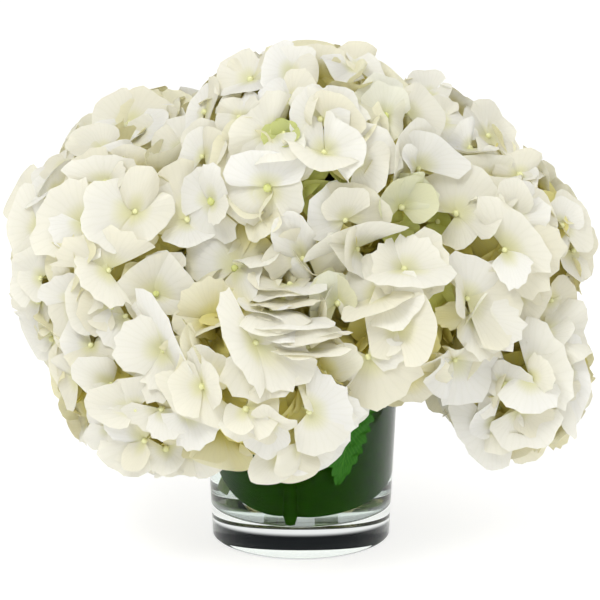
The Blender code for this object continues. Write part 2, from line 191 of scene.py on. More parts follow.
# %% Colour and paths of light
CLEAR_BOUNCES = 16
MATT_BOUNCES = 8
scene = bpy.context.scene
scene.view_settings.view_transform = "Standard"
scene.view_settings.look = "None"
scene.view_settings.exposure = 0.0
scene.cycles.max_bounces = CLEAR_BOUNCES
scene.cycles.transmission_bounces = CLEAR_BOUNCES
scene.cycles.transparent_max_bounces = CLEAR_BOUNCES
scene.cycles.diffuse_bounces = MATT_BOUNCES
scene.cycles.glossy_bounces = MATT_BOUNCES
scene.cycles.use_denoising = True
print("up to", CLEAR_BOUNCES, "bounces through what is clear and", MATT_BOUNCES, "off what is not")

# %% [markdown]
# The floor is a sheet of card. White card would throw so much light up that the low heads lose their
# shade. So it is painted grey and given a glow of its own, which makes it as white to the eye.

# %% Floor
FLOOR_HALF = 6.0
FLOOR_GAP = 0.1 * MM
# Matt white card, uncoated: no gloss to speak of, so the vase casts a shadow but no reflection.
card, add = new_material("white_matt_card")
face = add(
    "ShaderNodeBsdfPrincipled",
    {
        "Base Color": linear("#b2b2b2"),
        "Roughness": 0.8,
        "Specular IOR Level": 0.1,
        "Emission Color": linear("#ffffff"),
        "Emission Strength": 0.74,
    },
)
add("ShaderNodeOutputMaterial", {"Surface": face})
bm = bmesh.new()
bmesh.ops.create_grid(bm, x_segments=1, y_segments=1, size=FLOOR_HALF)
floor_mesh = bpy.data.meshes.new("floor")
bm.to_mesh(floor_mesh)
bm.free()
floor_mesh.materials.append(card)
floor = bpy.data.objects.new("floor", floor_mesh)
floor.location.z = -FLOOR_GAP
bpy.context.scene.collection.objects.link(floor)

# %% [markdown]
# Every piece ends the same way: its mesh holds its place, it rides on the one body of the bouquet, and the
# CAD parts that it stands for are hidden. Modifiers are read off into a plain mesh before that, because only
# a plain mesh keeps its shape wherever it goes.

# %% Finishing a piece
SHARP_FROM = math.radians(70)


def finish_piece(name, mesh, slot, *nodes):
    """Links a mesh as a piece, shades all but its sharp edges smooth and hides the CAD parts it stands for.
    """
    mesh.shade_smooth()
    mesh.set_sharp_from_angle(angle=SHARP_FROM)
    piece = bpy.data.objects.new(name, mesh)
    bpy.context.scene.collection.objects.link(piece)
    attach(piece, "root")
    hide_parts(*nodes)
    print(name, len(mesh.polygons), "faces")


def scratch_object(name, mesh):
    """An object that only lives until its modifiers are read."""
    made = bpy.data.objects.new(name, mesh)
    bpy.context.scene.collection.objects.link(made)
    return made


def evaluated_mesh(obj):
    """The mesh that an object's modifiers make. The object is removed."""
    bpy.context.view_layer.update()
    graph = bpy.context.evaluated_depsgraph_get()
    mesh = bpy.data.meshes.new_from_object(obj.evaluated_get(graph))
    mesh.name = obj.name
    bpy.data.objects.remove(obj)
    return mesh


# %% [markdown]
# The vase is a heavy pressed tumbler, a little wider at its rim. It could be cut out of two cylinders, but
# then its lip and fillets would need bevels. It is turned instead, as on a potter's wheel: a profile and
# a Screw modifier make it, finer than the CAD model's. Two functions give its inner and outer radius at
# any height, because the water, both leaves and the flowers lean on it.

# %% Shape of the vase
VASE_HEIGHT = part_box("vase")[1][2]
VASE_BASE_RADIUS = 50.9 * MM
VASE_FLARE = 0.045
VASE_WALL = 3.2 * MM
TURNED_STEPS = 192
MERGE_DISTANCE = 0.01 * MM


def outer_radius(z):
    """The vase's outer radius at a height."""
    return VASE_BASE_RADIUS + VASE_FLARE * z


def inner_radius(z):
    """The vase's inner radius at a height."""
    return outer_radius(z) - VASE_WALL


def round_vase(angle, radius, z):
    """A point at an angle in degrees from the front, a distance from the axis and a height."""
    turn = math.radians(angle)
    return Vector((radius * math.sin(turn), -radius * math.cos(turn), z))


def arc(centre, radius, start, end, steps):
    """Points along an arc in the plane of radius and height."""
    turns = [math.radians(start + (end - start) * i / steps) for i in range(steps + 1)]
    return [(centre[0] + radius * math.cos(a), centre[1] + radius * math.sin(a)) for a in turns]


def turned(name, profile, material):
    """The mesh of a solid of revolution whose profile runs down its outer side."""
    bm = bmesh.new()
    verts = [bm.verts.new((radius, 0, z)) for radius, z in profile]
    for one, two in zip(verts, verts[1:]):
        bm.edges.new((one, two))
    mesh = bpy.data.meshes.new(name)
    bm.to_mesh(mesh)
    bm.free()
    mesh.materials.append(material)
    lathe = scratch_object(name, mesh)
    screw = lathe.modifiers.new("turn", "SCREW")
    screw.steps = screw.render_steps = TURNED_STEPS
    screw.use_merge_vertices = True
    screw.merge_threshold = MERGE_DISTANCE
    return evaluated_mesh(lathe)


print("vase", round(VASE_HEIGHT / MM), "mm tall,", round(2 * outer_radius(VASE_HEIGHT) / MM), "mm wide")

# %% [markdown]
# Glass is soda-lime: an index of 1.52 and no roughness. The studio is white nearly all round, so a face of
# full gloss would be a white haze, and the reflections are dimmed by a dark specular tint. The underside
# is hollowed by about a millimetre inside its foot ring, which draws the thin bright line of pressed glass.

# %% Glass
VASE_FLOOR = 19 * MM
BASE_TAPER = 1.6 * MM
BASE_CORNER_HEIGHT = 1.3 * MM
FLOOR_FILLET = 1.2 * MM
FOOT_RING = 46.5 * MM
FOOT_HOLLOW = 1.2 * MM
FILLET_STEPS = 8
CURVE_STEPS = 12


def clear_material(name, tint, index):
    """A clear and smooth material with a faint tint and dimmed reflections."""
    made, add = new_material(name)
    clear = add(
        "ShaderNodeBsdfPrincipled",
        {
            "Base Color": linear(tint),
            "Roughness": 0.0,
            "IOR": index,
            "Transmission Weight": 1.0,
            "Specular Tint": linear("#343434"),
        },
    )
    add("ShaderNodeOutputMaterial", {"Surface": clear})
    return made


# Soda-lime glass, pressed and fire-polished: clear, sharp, faintly green.
soda_glass = clear_material("soda_lime_glass", "#fafdfb", 1.52)

lip = VASE_WALL / 2
lip_z = VASE_HEIGHT - lip
fillet_z = VASE_FLOOR + FLOOR_FILLET
fillet_centre = (inner_radius(fillet_z) - FLOOR_FILLET, fillet_z)
profile = [(0, VASE_FLOOR)]
profile += arc(fillet_centre, FLOOR_FILLET, -90, 0, FILLET_STEPS)
profile += arc((inner_radius(lip_z) + lip, lip_z), lip, 180, 0, CURVE_STEPS)
for i in range(CURVE_STEPS + 1):
    turn = math.radians(90 * i / CURVE_STEPS)
    z = BASE_CORNER_HEIGHT * (1 - math.sin(turn))
    profile.append((outer_radius(z) - BASE_TAPER * (1 - math.cos(turn)), z))
for i in range(CURVE_STEPS + 1):
    share = 1 - i / CURVE_STEPS
    profile.append((FOOT_RING * share, FOOT_HOLLOW * (1 - share**2)))
finish_piece("vase_glass", turned("vase_glass", profile, soda_glass), "glass", "vase")

# %% [markdown]
# Water wets the glass, so no film of air may show between them. It could be drawn with the glass's own
# inner wall, but two faces in one place confuse a ray. The water's face is set a tenth of a millimetre
# inside the glass instead: a ray then bends at each surface as it does where water meets glass.

# %% Water
WATER_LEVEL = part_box("water")[1][2]
WETTING = 0.1 * MM

# Clean tap water, still: clear, with an index of 1.333.
still_water = clear_material("still_water", "#f8fcfa", 1.333)
profile = [(0, WATER_LEVEL), (inner_radius(WATER_LEVEL) + WETTING, WATER_LEVEL)]
profile += arc(fillet_centre, FLOOR_FILLET + WETTING, 0, -90, FILLET_STEPS)
profile += [(0, VASE_FLOOR - WETTING)]
finish_piece("water_fill", turned("water_fill", profile, still_water), "water", "water")

# %% [markdown]
# Both leaves of this bouquet are waxy: a dark blade mottled by its cells, paler veins that leave the
# midrib at a slant, and a soft gloss. The veins follow the leaf and not the room, so the pattern is drawn
# on a UV map whose X is the distance from the midrib and whose Y runs along it, in shares of the leaf.

# %% Waxy skin of leaves
MOTTLE_SCALE = 7.0
WOBBLE_SCALE = 3.0


def leaf_skin(name, dark, light, vein, side_veins, slope, roughness, gloss, relief):
    """Waxy leaf: a dark mottled blade and paler veins that leave the midrib on both sides."""
    made, add = new_material(name)
    uv = add("ShaderNodeUVMap", uv_map="blade")
    split = add("ShaderNodeSeparateXYZ", {"Vector": uv})
    from_rib = add("ShaderNodeMath", {0: split.outputs["X"]}, operation="ABSOLUTE")
    slant = add("ShaderNodeMath", {0: from_rib, 1: -slope, 2: split.outputs["Y"]}, operation="MULTIPLY_ADD")
    wobble = add("ShaderNodeTexNoise", {"Vector": uv, "Scale": WOBBLE_SCALE, "Detail": 3.0})
    slant = add("ShaderNodeMath", {0: wobble, 1: 0.05, 2: slant}, operation="MULTIPLY_ADD")
    turn = add("ShaderNodeMath", {0: slant, 1: side_veins * math.pi}, operation="MULTIPLY")
    wave = add("ShaderNodeMath", {0: turn}, operation="SINE")
    crest = add("ShaderNodeMath", {0: wave}, operation="ABSOLUTE")
    line = add("ShaderNodeMath", {0: crest, 1: 9.0}, operation="POWER")
    rib = add("ShaderNodeMapRange", {"Value": from_rib, "From Min": 0.05, "From Max": 0.0})
    mottle = add("ShaderNodeTexNoise", {"Vector": uv, "Scale": MOTTLE_SCALE, "Detail": 5.0})
    colour = add("ShaderNodeMix", {SHARE: mottle, FROM: linear(dark), TO: linear(light)}, data_type="RGBA")
    for where, most in ((line, 0.35), (rib, 0.5)):
        share = add("ShaderNodeMath", {0: where, 1: most}, operation="MULTIPLY")
        colour = add("ShaderNodeMix", {SHARE: share, FROM: colour, TO: linear(vein)}, data_type="RGBA")
    height = add("ShaderNodeMath", {0: mottle, 1: 0.4, 2: line}, operation="MULTIPLY_ADD")
    bump = add("ShaderNodeBump", {"Height": height, "Strength": relief, "Distance": 0.3 * MM}, invert=True)
    waxy = add(
        "ShaderNodeBsdfPrincipled",
        {"Base Color": colour, "Roughness": roughness, "Specular IOR Level": gloss, "Normal": bump},
    )
    add("ShaderNodeOutputMaterial", {"Surface": waxy})
    print(name, "has", len(made.node_tree.nodes), "nodes")
    return made


# %% [markdown]
# A leaf is a thin sheet. Its points are worked out on a grid and joined by faces, and a Solidify modifier
# gives it its thickness. That is simpler than modelling two skins and sewing them along their edge.

# %% Blade of a leaf
def grid_faces(rows, columns):
    """The faces of a grid of points that come row by row."""
    step = columns + 1
    return [
        (i * step + j, (i + 1) * step + j, (i + 1) * step + j + 1, i * step + j + 1)
        for i in range(rows)
        for j in range(columns)
    ]


def set_blade_uv(mesh, blade_uv):
    """Gives a mesh a UV map from one pair a vertex: how far from the midrib, and how far along it."""
    layer = mesh.uv_layers.new(name="blade")
    for loop in mesh.loops:
        layer.data[loop.index].uv = blade_uv[loop.vertex_index]


def blade_mesh(name, points, faces, blade_uv, skin, thickness):
    """The mesh of a leaf's blade: a bent grid with a UV map, given a thickness."""
    mesh = bpy.data.meshes.new(name)
    mesh.from_pydata(points, [], faces)
    set_blade_uv(mesh, blade_uv)
    mesh.materials.append(skin)
    blade = scratch_object(name, mesh)
    shell = blade.modifiers.new("thickness", "SOLIDIFY")
    shell.thickness = thickness
    shell.offset = 0
    return evaluated_mesh(blade)


# %% [markdown]
# The lining leaf is one broad glossy leaf wrapped round inside the glass, its midrib upright at the
# front. Its outline is an ellipse, wider to the right. A flat leaf could be bent by a modifier, but the
# place of every point is known: the blade is a grid laid straight on the inside of the glass. It stands
# in from the glass beside its midrib, which is thicker than the blade.

# %% Lining leaf
LINING_MIDRIB_ANGLE = -7.5
LINING_LEFT = 67.5
LINING_RIGHT = 127.5
LINING_MIDDLE = 66.2 * MM
LINING_HALF_HEIGHT = 41.7 * MM
LINING_THICKNESS = 0.9 * MM
LINING_GAP = 0.4 * MM
LINING_COLUMNS = 78
LINING_ROWS = 24
LINING_TIP = 0.995
RIB_HOLLOW = 4.4 * MM
RIB_HOLLOW_ANGLE = 9.0


def rib_hollow(angle):
    """How far the lining leaf stands in from the glass beside its midrib."""
    return RIB_HOLLOW * math.exp(-(((angle - LINING_MIDRIB_ANGLE) / RIB_HOLLOW_ANGLE) ** 2))


# Aspidistra leaf: leathery and dark, with a waxy cuticle.
lining_skin = leaf_skin("aspidistra_leaf", "#1c4c00", "#2c6600", "#427410", 16, 0.45, 0.3, 0.02, 0.1)
points = []
blade_uv = []
for i in range(LINING_COLUMNS + 1):
    angle = -LINING_LEFT + (LINING_LEFT + LINING_RIGHT) * i / LINING_COLUMNS
    side = min(abs(angle) / (LINING_RIGHT if angle > 0 else LINING_LEFT), LINING_TIP)
    reach = LINING_HALF_HEIGHT * math.sqrt(1 - side**2)
    for j in range(LINING_ROWS + 1):
        z = LINING_MIDDLE + reach * (2 * j / LINING_ROWS - 1)
        turn = LINING_MIDRIB_ANGLE + angle
        radius = inner_radius(z) - LINING_GAP - LINING_THICKNESS / 2 - rib_hollow(turn)
        points.append(round_vase(turn, radius, z))
        blade_uv.append((angle / 90, (z - LINING_MIDDLE) / LINING_HALF_HEIGHT))
faces = grid_faces(LINING_COLUMNS, LINING_ROWS)
mesh = blade_mesh("lining_blade", points, faces, blade_uv, lining_skin, LINING_THICKNESS)
finish_piece("lining_blade", mesh, "leaf", "lining_leaf")

# %% [markdown]
# A hydrangea's head is a dome of florets on a woody green stem. These tables lay out the ten heads and
# their stems as the CAD model does, so that each head sits where its solid is. Three heads are up to five
# millimetres off their solids, because the dressed outline has to follow the photograph's.

# %% Heads and stems of the bouquet, in millimetres
HEADS = {
    "top": ((3, -18, 212), 71),
    "left": ((-97, -20, 172), 59),
    "right": ((98, 0, 167), 58),
    "low_left": ((-79, -42, 109), 54),
    "low_right": ((122, -26, 95), 39),
    "front": ((-21, -80, 121), 51),
    "middle": ((49, -62, 144), 44),
    "back_left": ((-80, 56, 182), 61),
    "back_right": ((61, 50, 195), 54),
    "back": ((4, 76, 158), 63),
}
STEMS = {
    "top": {"foot": (-38, -8), "neck": (1, 1)},
    "left": {"foot": (-24, 22), "neck": (-31, 3)},
    "right": {"foot": (33, -6), "neck": (32, 3)},
    "low_left": {"foot": (-22, -25), "neck": (-29, -16), "rim": (-49, -27, 125)},
    "low_right": {"foot": (15, -30), "neck": (31, -16), "rim": (52, -20, 126)},
    "front": {"foot": (-5, -34), "neck": (0, -33), "rim": (-12, -51, 122)},
    "middle": {"foot": (6, -22), "neck": (17, -27)},
    "back_left": {"foot": (-8, 32), "neck": (-24, 27)},
    "back_right": {"foot": (26, 20), "neck": (27, 22)},
    "back": {"foot": (8, 36), "neck": (3, 33)},
}
NECK_HEIGHT = 102
FOOT_HEIGHT = 28


def head_size(name):
    """A head's centre and reach in metres."""
    centre, reach = HEADS[name]
    return Vector(centre) * MM, reach * MM


print(len(HEADS), "heads,", len(STEMS), "stems")

# %% [markdown]
# Stems are smooth green rods. Each is a curve with a round bevel, because a bevel keeps its girth round
# every bend. It takes the same route as its CAD rod: from its foot above the floor of the vase, past the
# neck and in some cases over the rim, to its head.

# %% Rods along a route
def smooth_route(points, steps):
    """A Catmull-Rom curve through the points."""
    padded = [2 * points[0] - points[1], *points, 2 * points[-1] - points[-2]]
    route = []
    for a, b, c, d in zip(padded, padded[1:], padded[2:], padded[3:]):
        for i in range(steps):
            t = i / steps
            cubic = (3 * b - 3 * c + d - a) * t * t * t
            route.append(0.5 * (2 * b + (c - a) * t + (2 * a - 5 * b + 4 * c - d) * t * t + cubic))
    return [*route, points[-1]]


def rod_mesh(name, route, radii, material, roundness=3):
    """The mesh of a round rod along a route, with one radius a point."""
    curve = bpy.data.curves.new(name, "CURVE")
    curve.dimensions = "3D"
    curve.bevel_depth = 1.0
    curve.bevel_resolution = roundness
    curve.use_fill_caps = True
    curve.materials.append(material)
    spline = curve.splines.new("POLY")
    spline.points.add(len(route) - 1)
    for point, place, radius in zip(spline.points, route, radii):
        point.co = (*place, 1)
        point.radius = radius
    mesh = evaluated_mesh(scratch_object(name, curve))
    bm = bmesh.new()
    bm.from_mesh(mesh)
    bmesh.ops.remove_doubles(bm, verts=bm.verts, dist=MERGE_DISTANCE)
    bmesh.ops.recalc_face_normals(bm, faces=bm.faces)
    bm.to_mesh(mesh)
    bm.free()
    return mesh


# %% Stems
STEM_RADIUS = 3.6 * MM
STEM_SUNK = 12 * MM
CORE_SHARE = 0.62
ROUTE_STEPS = 6
STEM_FIBRES = 0.9 / MM
STEM_SPECKS = 0.26 / MM

# Green plant skin: fibres drawn long by the stem's growth, and brownish lenticels.
stem_skin, add = new_material("hydrangea_stem_skin")
place = add("ShaderNodeTexCoord").outputs["Object"]
stretched = add("ShaderNodeMapping", {"Vector": place, "Scale": (1.0, 1.0, 0.12)})
fibre = add("ShaderNodeTexNoise", {"Vector": stretched, "Scale": STEM_FIBRES, "Detail": 4.0})
specks = add("ShaderNodeTexVoronoi", {"Vector": place, "Scale": STEM_SPECKS})
speck = add("ShaderNodeMapRange", {"Value": specks, "From Min": 0.16, "From Max": 0.08})
speck = add("ShaderNodeMath", {0: speck, 1: 0.5}, operation="MULTIPLY")
green = add(
    "ShaderNodeMix", {SHARE: fibre, FROM: linear("#6c9234"), TO: linear("#a2c060")}, data_type="RGBA"
)
green = add("ShaderNodeMix", {SHARE: speck, FROM: green, TO: linear("#6a5a30")}, data_type="RGBA")
bump = add("ShaderNodeBump", {"Height": fibre, "Strength": 0.3, "Distance": 0.2 * MM})
skin = add("ShaderNodeBsdfPrincipled", {"Base Color": green, "Roughness": 0.42, "Normal": bump})
add("ShaderNodeOutputMaterial", {"Surface": skin})

stem_routes = {}
for name, plan in STEMS.items():
    centre, reach = head_size(name)
    neck = Vector((*plan["neck"], NECK_HEIGHT)) * MM
    foot = Vector((*plan["foot"], FOOT_HEIGHT)) * MM
    bends = [neck]
    if "rim" in plan:
        bends.append(Vector(plan["rim"]) * MM)
    inward = (bends[-1] - centre).normalized()
    end = centre + inward * (CORE_SHARE * reach - STEM_SUNK)
    route = [foot, (foot + neck) / 2, *smooth_route([*bends, end], ROUTE_STEPS)]
    stem_routes[name] = route
    mesh = rod_mesh(f"stalk_{name}", route, [STEM_RADIUS] * len(route), stem_skin, roundness=6)
    finish_piece(f"stalk_{name}", mesh, "stem", f"stem_{name}")

# %% [markdown]
# The midrib of the lining leaf ends in its thick cut foot. It is a tapered rod that stands on the floor
# and leans with the glass. It joins the blade, so it wears the same skin, without the paler vein.

# %% Midrib of the lining leaf
RIB_FOOT_RADIUS = 4.6 * MM
RIB_TOP_RADIUS = 1.6 * MM
RIB_TOP = 98 * MM
RIB_FOOT = VASE_FLOOR + 0.6 * MM
RIB_STEPS = 12
RIB_FOOT_SHARE = 0.55
RIB_FROM_MIDDLE = 0.12
rib_route = []
rib_radii = []
for i in range(RIB_STEPS + 1):
    z = RIB_FOOT + (RIB_TOP - RIB_FOOT) * i / RIB_STEPS
    swell = RIB_FOOT_RADIUS + (RIB_TOP_RADIUS - RIB_FOOT_RADIUS) * i / RIB_STEPS
    rib_radii.append(swell if i else swell * RIB_FOOT_SHARE)
    rib_route.append(round_vase(LINING_MIDRIB_ANGLE, inner_radius(z) - LINING_GAP - RIB_FOOT_RADIUS, z))
midrib = rod_mesh("lining_midrib", rib_route, rib_radii, lining_skin, roundness=8)
rib_uv = [(RIB_FROM_MIDDLE, (v.co.z - LINING_MIDDLE) / LINING_HALF_HEIGHT) for v in midrib.vertices]
set_blade_uv(midrib, rib_uv)
finish_piece("lining_midrib", midrib, "leaf", "lining_leaf")

# %% [markdown]
# One of the hydrangea's own leaves hangs over the rim. It is thin, bright green and coarsely toothed,
# with quilted skin between its side veins. Its teeth could be painted as a mask, but a visible shape has
# to be geometry: the margin of a grid bent round the outside of the glass is pushed in and out by a saw
# wave, and its surface is quilted between the veins.

# %% Toothed leaf
LEAF_HALF_WIDTH = 15 * MM
LEAF_THICKNESS = 0.6 * MM
LEAF_BASE_ANGLE = 38.0
LEAF_TIP_ANGLE = 21.0
LEAF_BASE_HEIGHT = 117 * MM
LEAF_TIP_HEIGHT = 45 * MM
LEAF_CLEARANCE = 2.6 * MM
LEAF_TEETH = 13
LEAF_TOOTH = 0.36
LEAF_QUILTS = 7
LEAF_QUILT = 0.7 * MM
LEAF_QUILT_SLOPE = 0.16
LEAF_FOLD = 1.2 * MM
LEAF_WAVE = 0.8 * MM
LEAF_WAVES = 9
LEAF_VEIN_LENGTH = 2.2
LEAF_BASE_CUT = 0.03
LEAF_SPAN = 0.955
LEAF_BLUNTNESS = 0.8
LEAF_ROWS = 120
LEAF_COLUMNS = 24


def leaf_breadth(along):
    """The leaf's breadth without its teeth at a share of its length, as a share of its widest."""
    turn = math.pi * (LEAF_BASE_CUT + LEAF_SPAN * along) ** LEAF_BLUNTNESS
    return math.sin(turn) ** LEAF_BLUNTNESS


# Hydrangea leaf: soft and thin, with a satin skin.
fresh_leaf = leaf_skin("hydrangea_leaf", "#1c5600", "#2c7204", "#4a861c", 9, 0.55, 0.45, 0.2, 0.3)
points = []
blade_uv = []
for i in range(LEAF_ROWS + 1):
    along = i / LEAF_ROWS
    body = leaf_breadth(along)
    saw = (along * LEAF_TEETH) % 1.0
    half = LEAF_HALF_WIDTH * body * (1 + LEAF_TOOTH * (saw - 0.5))
    z = LEAF_BASE_HEIGHT + (LEAF_TIP_HEIGHT - LEAF_BASE_HEIGHT) * along
    middle = LEAF_BASE_ANGLE + (LEAF_TIP_ANGLE - LEAF_BASE_ANGLE) * along
    for j in range(LEAF_COLUMNS + 1):
        across = 2 * j / LEAF_COLUMNS - 1
        quilt = abs(math.sin(math.pi * LEAF_QUILTS * (along + LEAF_QUILT_SLOPE * abs(across))))
        lift = LEAF_CLEARANCE + LEAF_FOLD * abs(across) + LEAF_WAVE * math.sin(LEAF_WAVES * along)
        lift += LEAF_QUILT * (quilt - 0.5) * min(1, 4 * abs(across)) * body
        radius = outer_radius(min(z, VASE_HEIGHT)) + lift
        points.append(round_vase(middle + math.degrees(across * half / radius), radius, z))
        blade_uv.append((across, along * LEAF_VEIN_LENGTH))
faces = [(first, *reversed(rest)) for first, *rest in grid_faces(LEAF_ROWS, LEAF_COLUMNS)]
mesh = blade_mesh("toothed_leaf", points, faces, blade_uv, fresh_leaf, LEAF_THICKNESS)
finish_piece("toothed_leaf", mesh, "leaf", "stem_middle")

# %% [markdown]
# The leaf grows on the stem of the middle head. Its stalk leaves that stem, climbs over the rim and comes
# down to the blade. It is a rod like the stems, so it takes their functions and their skin.

# %% Stalk of the toothed leaf
LEAF_JOINT = 6
LEAF_STALK_RADIUS = 1.6 * MM
LEAF_STALK_TOP = 118.5 * MM
LEAF_STALK_OUT = 4.5 * MM
LEAF_OVERLAP = 2 * MM
rim_radius = outer_radius(VASE_HEIGHT)
joint = stem_routes["middle"][LEAF_JOINT]
over_rim = round_vase(LEAF_BASE_ANGLE, rim_radius + LEAF_STALK_OUT, LEAF_STALK_TOP)
leaf_start = round_vase(LEAF_BASE_ANGLE, rim_radius + LEAF_CLEARANCE, LEAF_BASE_HEIGHT - LEAF_OVERLAP)
stalk_route = smooth_route([joint, over_rim, leaf_start], ROUTE_STEPS)
mesh = rod_mesh("leaf_stalk", stalk_route, [LEAF_STALK_RADIUS] * len(stalk_route), stem_skin)
finish_piece("leaf_stalk", mesh, "stem", "stem_middle")

# %% [markdown]
# What looks like the petals of a mophead hydrangea are sepals, four to a floret round a small bud. A sepal
# is a fan of rays from its claw. It is cupped or bent back, pleated along its veins and waved or toothed
# at its margin. It could be sculpted, but no two are alike: six kinds are grown four times each by one
# formula, with other random numbers. Thousands of copies are made, so each is a closed lens of few faces.

# %% Kinds of sepal
SEPAL_LENGTH = 22.5 * MM
SEPAL_WIDTH = 26.0 * MM
SEPAL_KINDS = {
    "flat": {"cup": 0.12, "curl": 0.1, "ruffle": 0.05, "fold": 0.0, "teeth": 0.03},
    "cupped": {"cup": 0.6, "curl": 0.0, "ruffle": 0.04, "fold": 0.0, "teeth": 0.0},
    "reflexed": {"cup": -0.3, "curl": 0.5, "ruffle": 0.06, "fold": 0.0, "teeth": 0.0},
    "serrate": {"cup": 0.2, "curl": 0.2, "ruffle": 0.05, "fold": 0.05, "teeth": 0.14},
    "folded": {"cup": 0.3, "curl": 0.2, "ruffle": 0.05, "fold": 0.3, "teeth": 0.04},
    "ruffled": {"cup": 0.2, "curl": 0.4, "ruffle": 0.13, "fold": 0.1, "teeth": 0.05},
}
print(", ".join(SEPAL_KINDS))


# %% Points of a sepal
SEPAL_ROWS = 3
SEPAL_RAYS = 14
CLAW = 0.03
ROW_SPREAD = 0.8
LEAST_REACH = 0.02
TIP_WIDTH = 0.2
LOBES = 8
CUP_ACROSS = 0.5
CUP_ALONG = 0.35
MEAN_PLEAT = 0.64
CURL_FROM = 0.45


def sepal_points(kind, draw):
    """The grid of points of a sepal of the usual length, its tip along +X from its claw, facing +Z."""
    breadth = draw.uniform(0.28, 0.5)
    half_angle = math.radians(draw.uniform(62, 84))
    cup = kind["cup"] * draw.uniform(0.6, 1.3)
    curl = kind["curl"] * draw.uniform(0.4, 1.6)
    fold = kind["fold"] * draw.uniform(0.5, 1.3)
    ruffle = kind["ruffle"] * draw.uniform(0.6, 1.5)
    waves = draw.choice((3.0, 4.0, 5.0))
    pleats = draw.choice((1.5, 2.0, 2.5))
    pleat = draw.uniform(0.03, 0.08)
    phase, start = draw.uniform(0, 2 * math.pi), draw.uniform(0, math.pi)
    lopsided = draw.uniform(-0.16, 0.16)
    tip = draw.uniform(-0.05, 0.05)
    lobe = draw.uniform(0.02, 0.06)
    notches = [draw.uniform(0.3, 1.0) for j in range(SEPAL_RAYS + 1)]
    grid = []
    for i in range(SEPAL_ROWS + 1):
        share = CLAW + (1 - CLAW) * (i / SEPAL_ROWS) ** ROW_SPREAD
        for j in range(SEPAL_RAYS + 1):
            side = 2 * j / SEPAL_RAYS - 1
            turn = side * half_angle
            reach = max(math.cos(turn), LEAST_REACH) ** breadth * (1 + lopsided * side)
            reach += tip * math.exp(-((side / TIP_WIDTH) ** 2)) + lobe * math.sin(LOBES * turn + phase)
            if i == SEPAL_ROWS:
                reach *= 1 - kind["teeth"] * (j % 2) * notches[j]
            x = share * reach * math.cos(turn)
            y = share * reach * math.sin(turn)
            lift = cup * (CUP_ACROSS * y * y + CUP_ALONG * x * x)
            lift += pleat * share * (abs(math.sin(pleats * turn + start)) - MEAN_PLEAT)
            lift += ruffle * share**2 * math.sin(waves * turn + phase)
            lift -= curl * max(0.0, share - CURL_FROM) ** 2
            lift += fold * abs(y)
            grid.append(Vector((x, y, lift)) * SEPAL_LENGTH)
    return grid


# %% Mesh of a sepal
SEPAL_THICKNESS = 0.3 * MM


def sepal_mesh(name, kind, seed):
    """A sepal as a thin closed lens, with a UV map of rays and distance from the claw."""
    points = sepal_points(kind, random.Random(seed))
    row = SEPAL_RAYS + 1
    blade_uv = [((k % row) / SEPAL_RAYS, (k // row) / SEPAL_ROWS) for k in range(len(points))]
    under = list(range(len(points)))
    for k in range(len(points)):
        if 0 < k // row < SEPAL_ROWS and 0 < k % row < SEPAL_RAYS:
            under[k] = len(points)
            points.append(points[k] - Vector((0, 0, SEPAL_THICKNESS)))
            blade_uv.append(blade_uv[k])
    faces = []
    for upper in grid_faces(SEPAL_ROWS, SEPAL_RAYS):
        faces += [upper, tuple(under[k] for k in reversed(upper))]
    mesh = bpy.data.meshes.new(name)
    mesh.from_pydata(points, [], faces)
    set_blade_uv(mesh, blade_uv)
    return mesh


# %% [markdown]
# The sepals wait in a collection outside the scene, from which a Geometry Nodes tree takes its copies. The
# bud, a bead on a thin pale stalk, waits in another. Its bead is built ring by ring: Blender's own sphere
# would do, but its faces come in another order each time, and a lesson should end the same each time.

# %% The sepals that are copied
SEPALS_A_KIND = 4
SEPAL_SEED = 300
sepal_kinds = bpy.data.collections.new("sepal_kinds")
kind_names = [name for name in SEPAL_KINDS for k in range(SEPALS_A_KIND)]
for index, name in enumerate(kind_names):
    mesh = sepal_mesh(f"sepal_{index:02d}", SEPAL_KINDS[name], SEPAL_SEED + index)
    sepal_kinds.objects.link(bpy.data.objects.new(mesh.name, mesh))
print(len(kind_names), "sepals,", len(mesh.polygons), "faces each")

# %% The bud that is copied
BUD_RADIUS = 1.9 * MM
BUD_LIFT = 1.4 * MM
BUD_SIDES = 8
BUD_RINGS = 5
PEDICEL_LENGTH = 14 * MM
PEDICEL_SIDES = 6
PEDICEL_FOOT = 1.3 * MM
PEDICEL_NECK = 0.8 * MM


def bead_mesh(name):
    """A bead of rings of points between two poles, whose faces come in the same order in every run."""
    points = [(0, 0, BUD_LIFT + BUD_RADIUS)]
    for i in range(1, BUD_RINGS):
        fall = math.pi * i / BUD_RINGS
        flat, z = BUD_RADIUS * math.sin(fall), BUD_LIFT + BUD_RADIUS * math.cos(fall)
        turns = [2 * math.pi * j / BUD_SIDES for j in range(BUD_SIDES)]
        points += [(flat * math.cos(turn), flat * math.sin(turn), z) for turn in turns]
    last = len(points)
    points.append((0, 0, BUD_LIFT - BUD_RADIUS))
    faces = []
    for j in range(BUD_SIDES):
        beside = (j + 1) % BUD_SIDES
        faces.append((0, 1 + j, 1 + beside))
        for ring in range(1, last - BUD_SIDES, BUD_SIDES):
            below = ring + BUD_SIDES
            faces.append((ring + j, below + j, below + beside, ring + beside))
        faces.append((last, last - BUD_SIDES + beside, last - BUD_SIDES + j))
    mesh = bpy.data.meshes.new(name)
    mesh.from_pydata(points, [], faces)
    return mesh


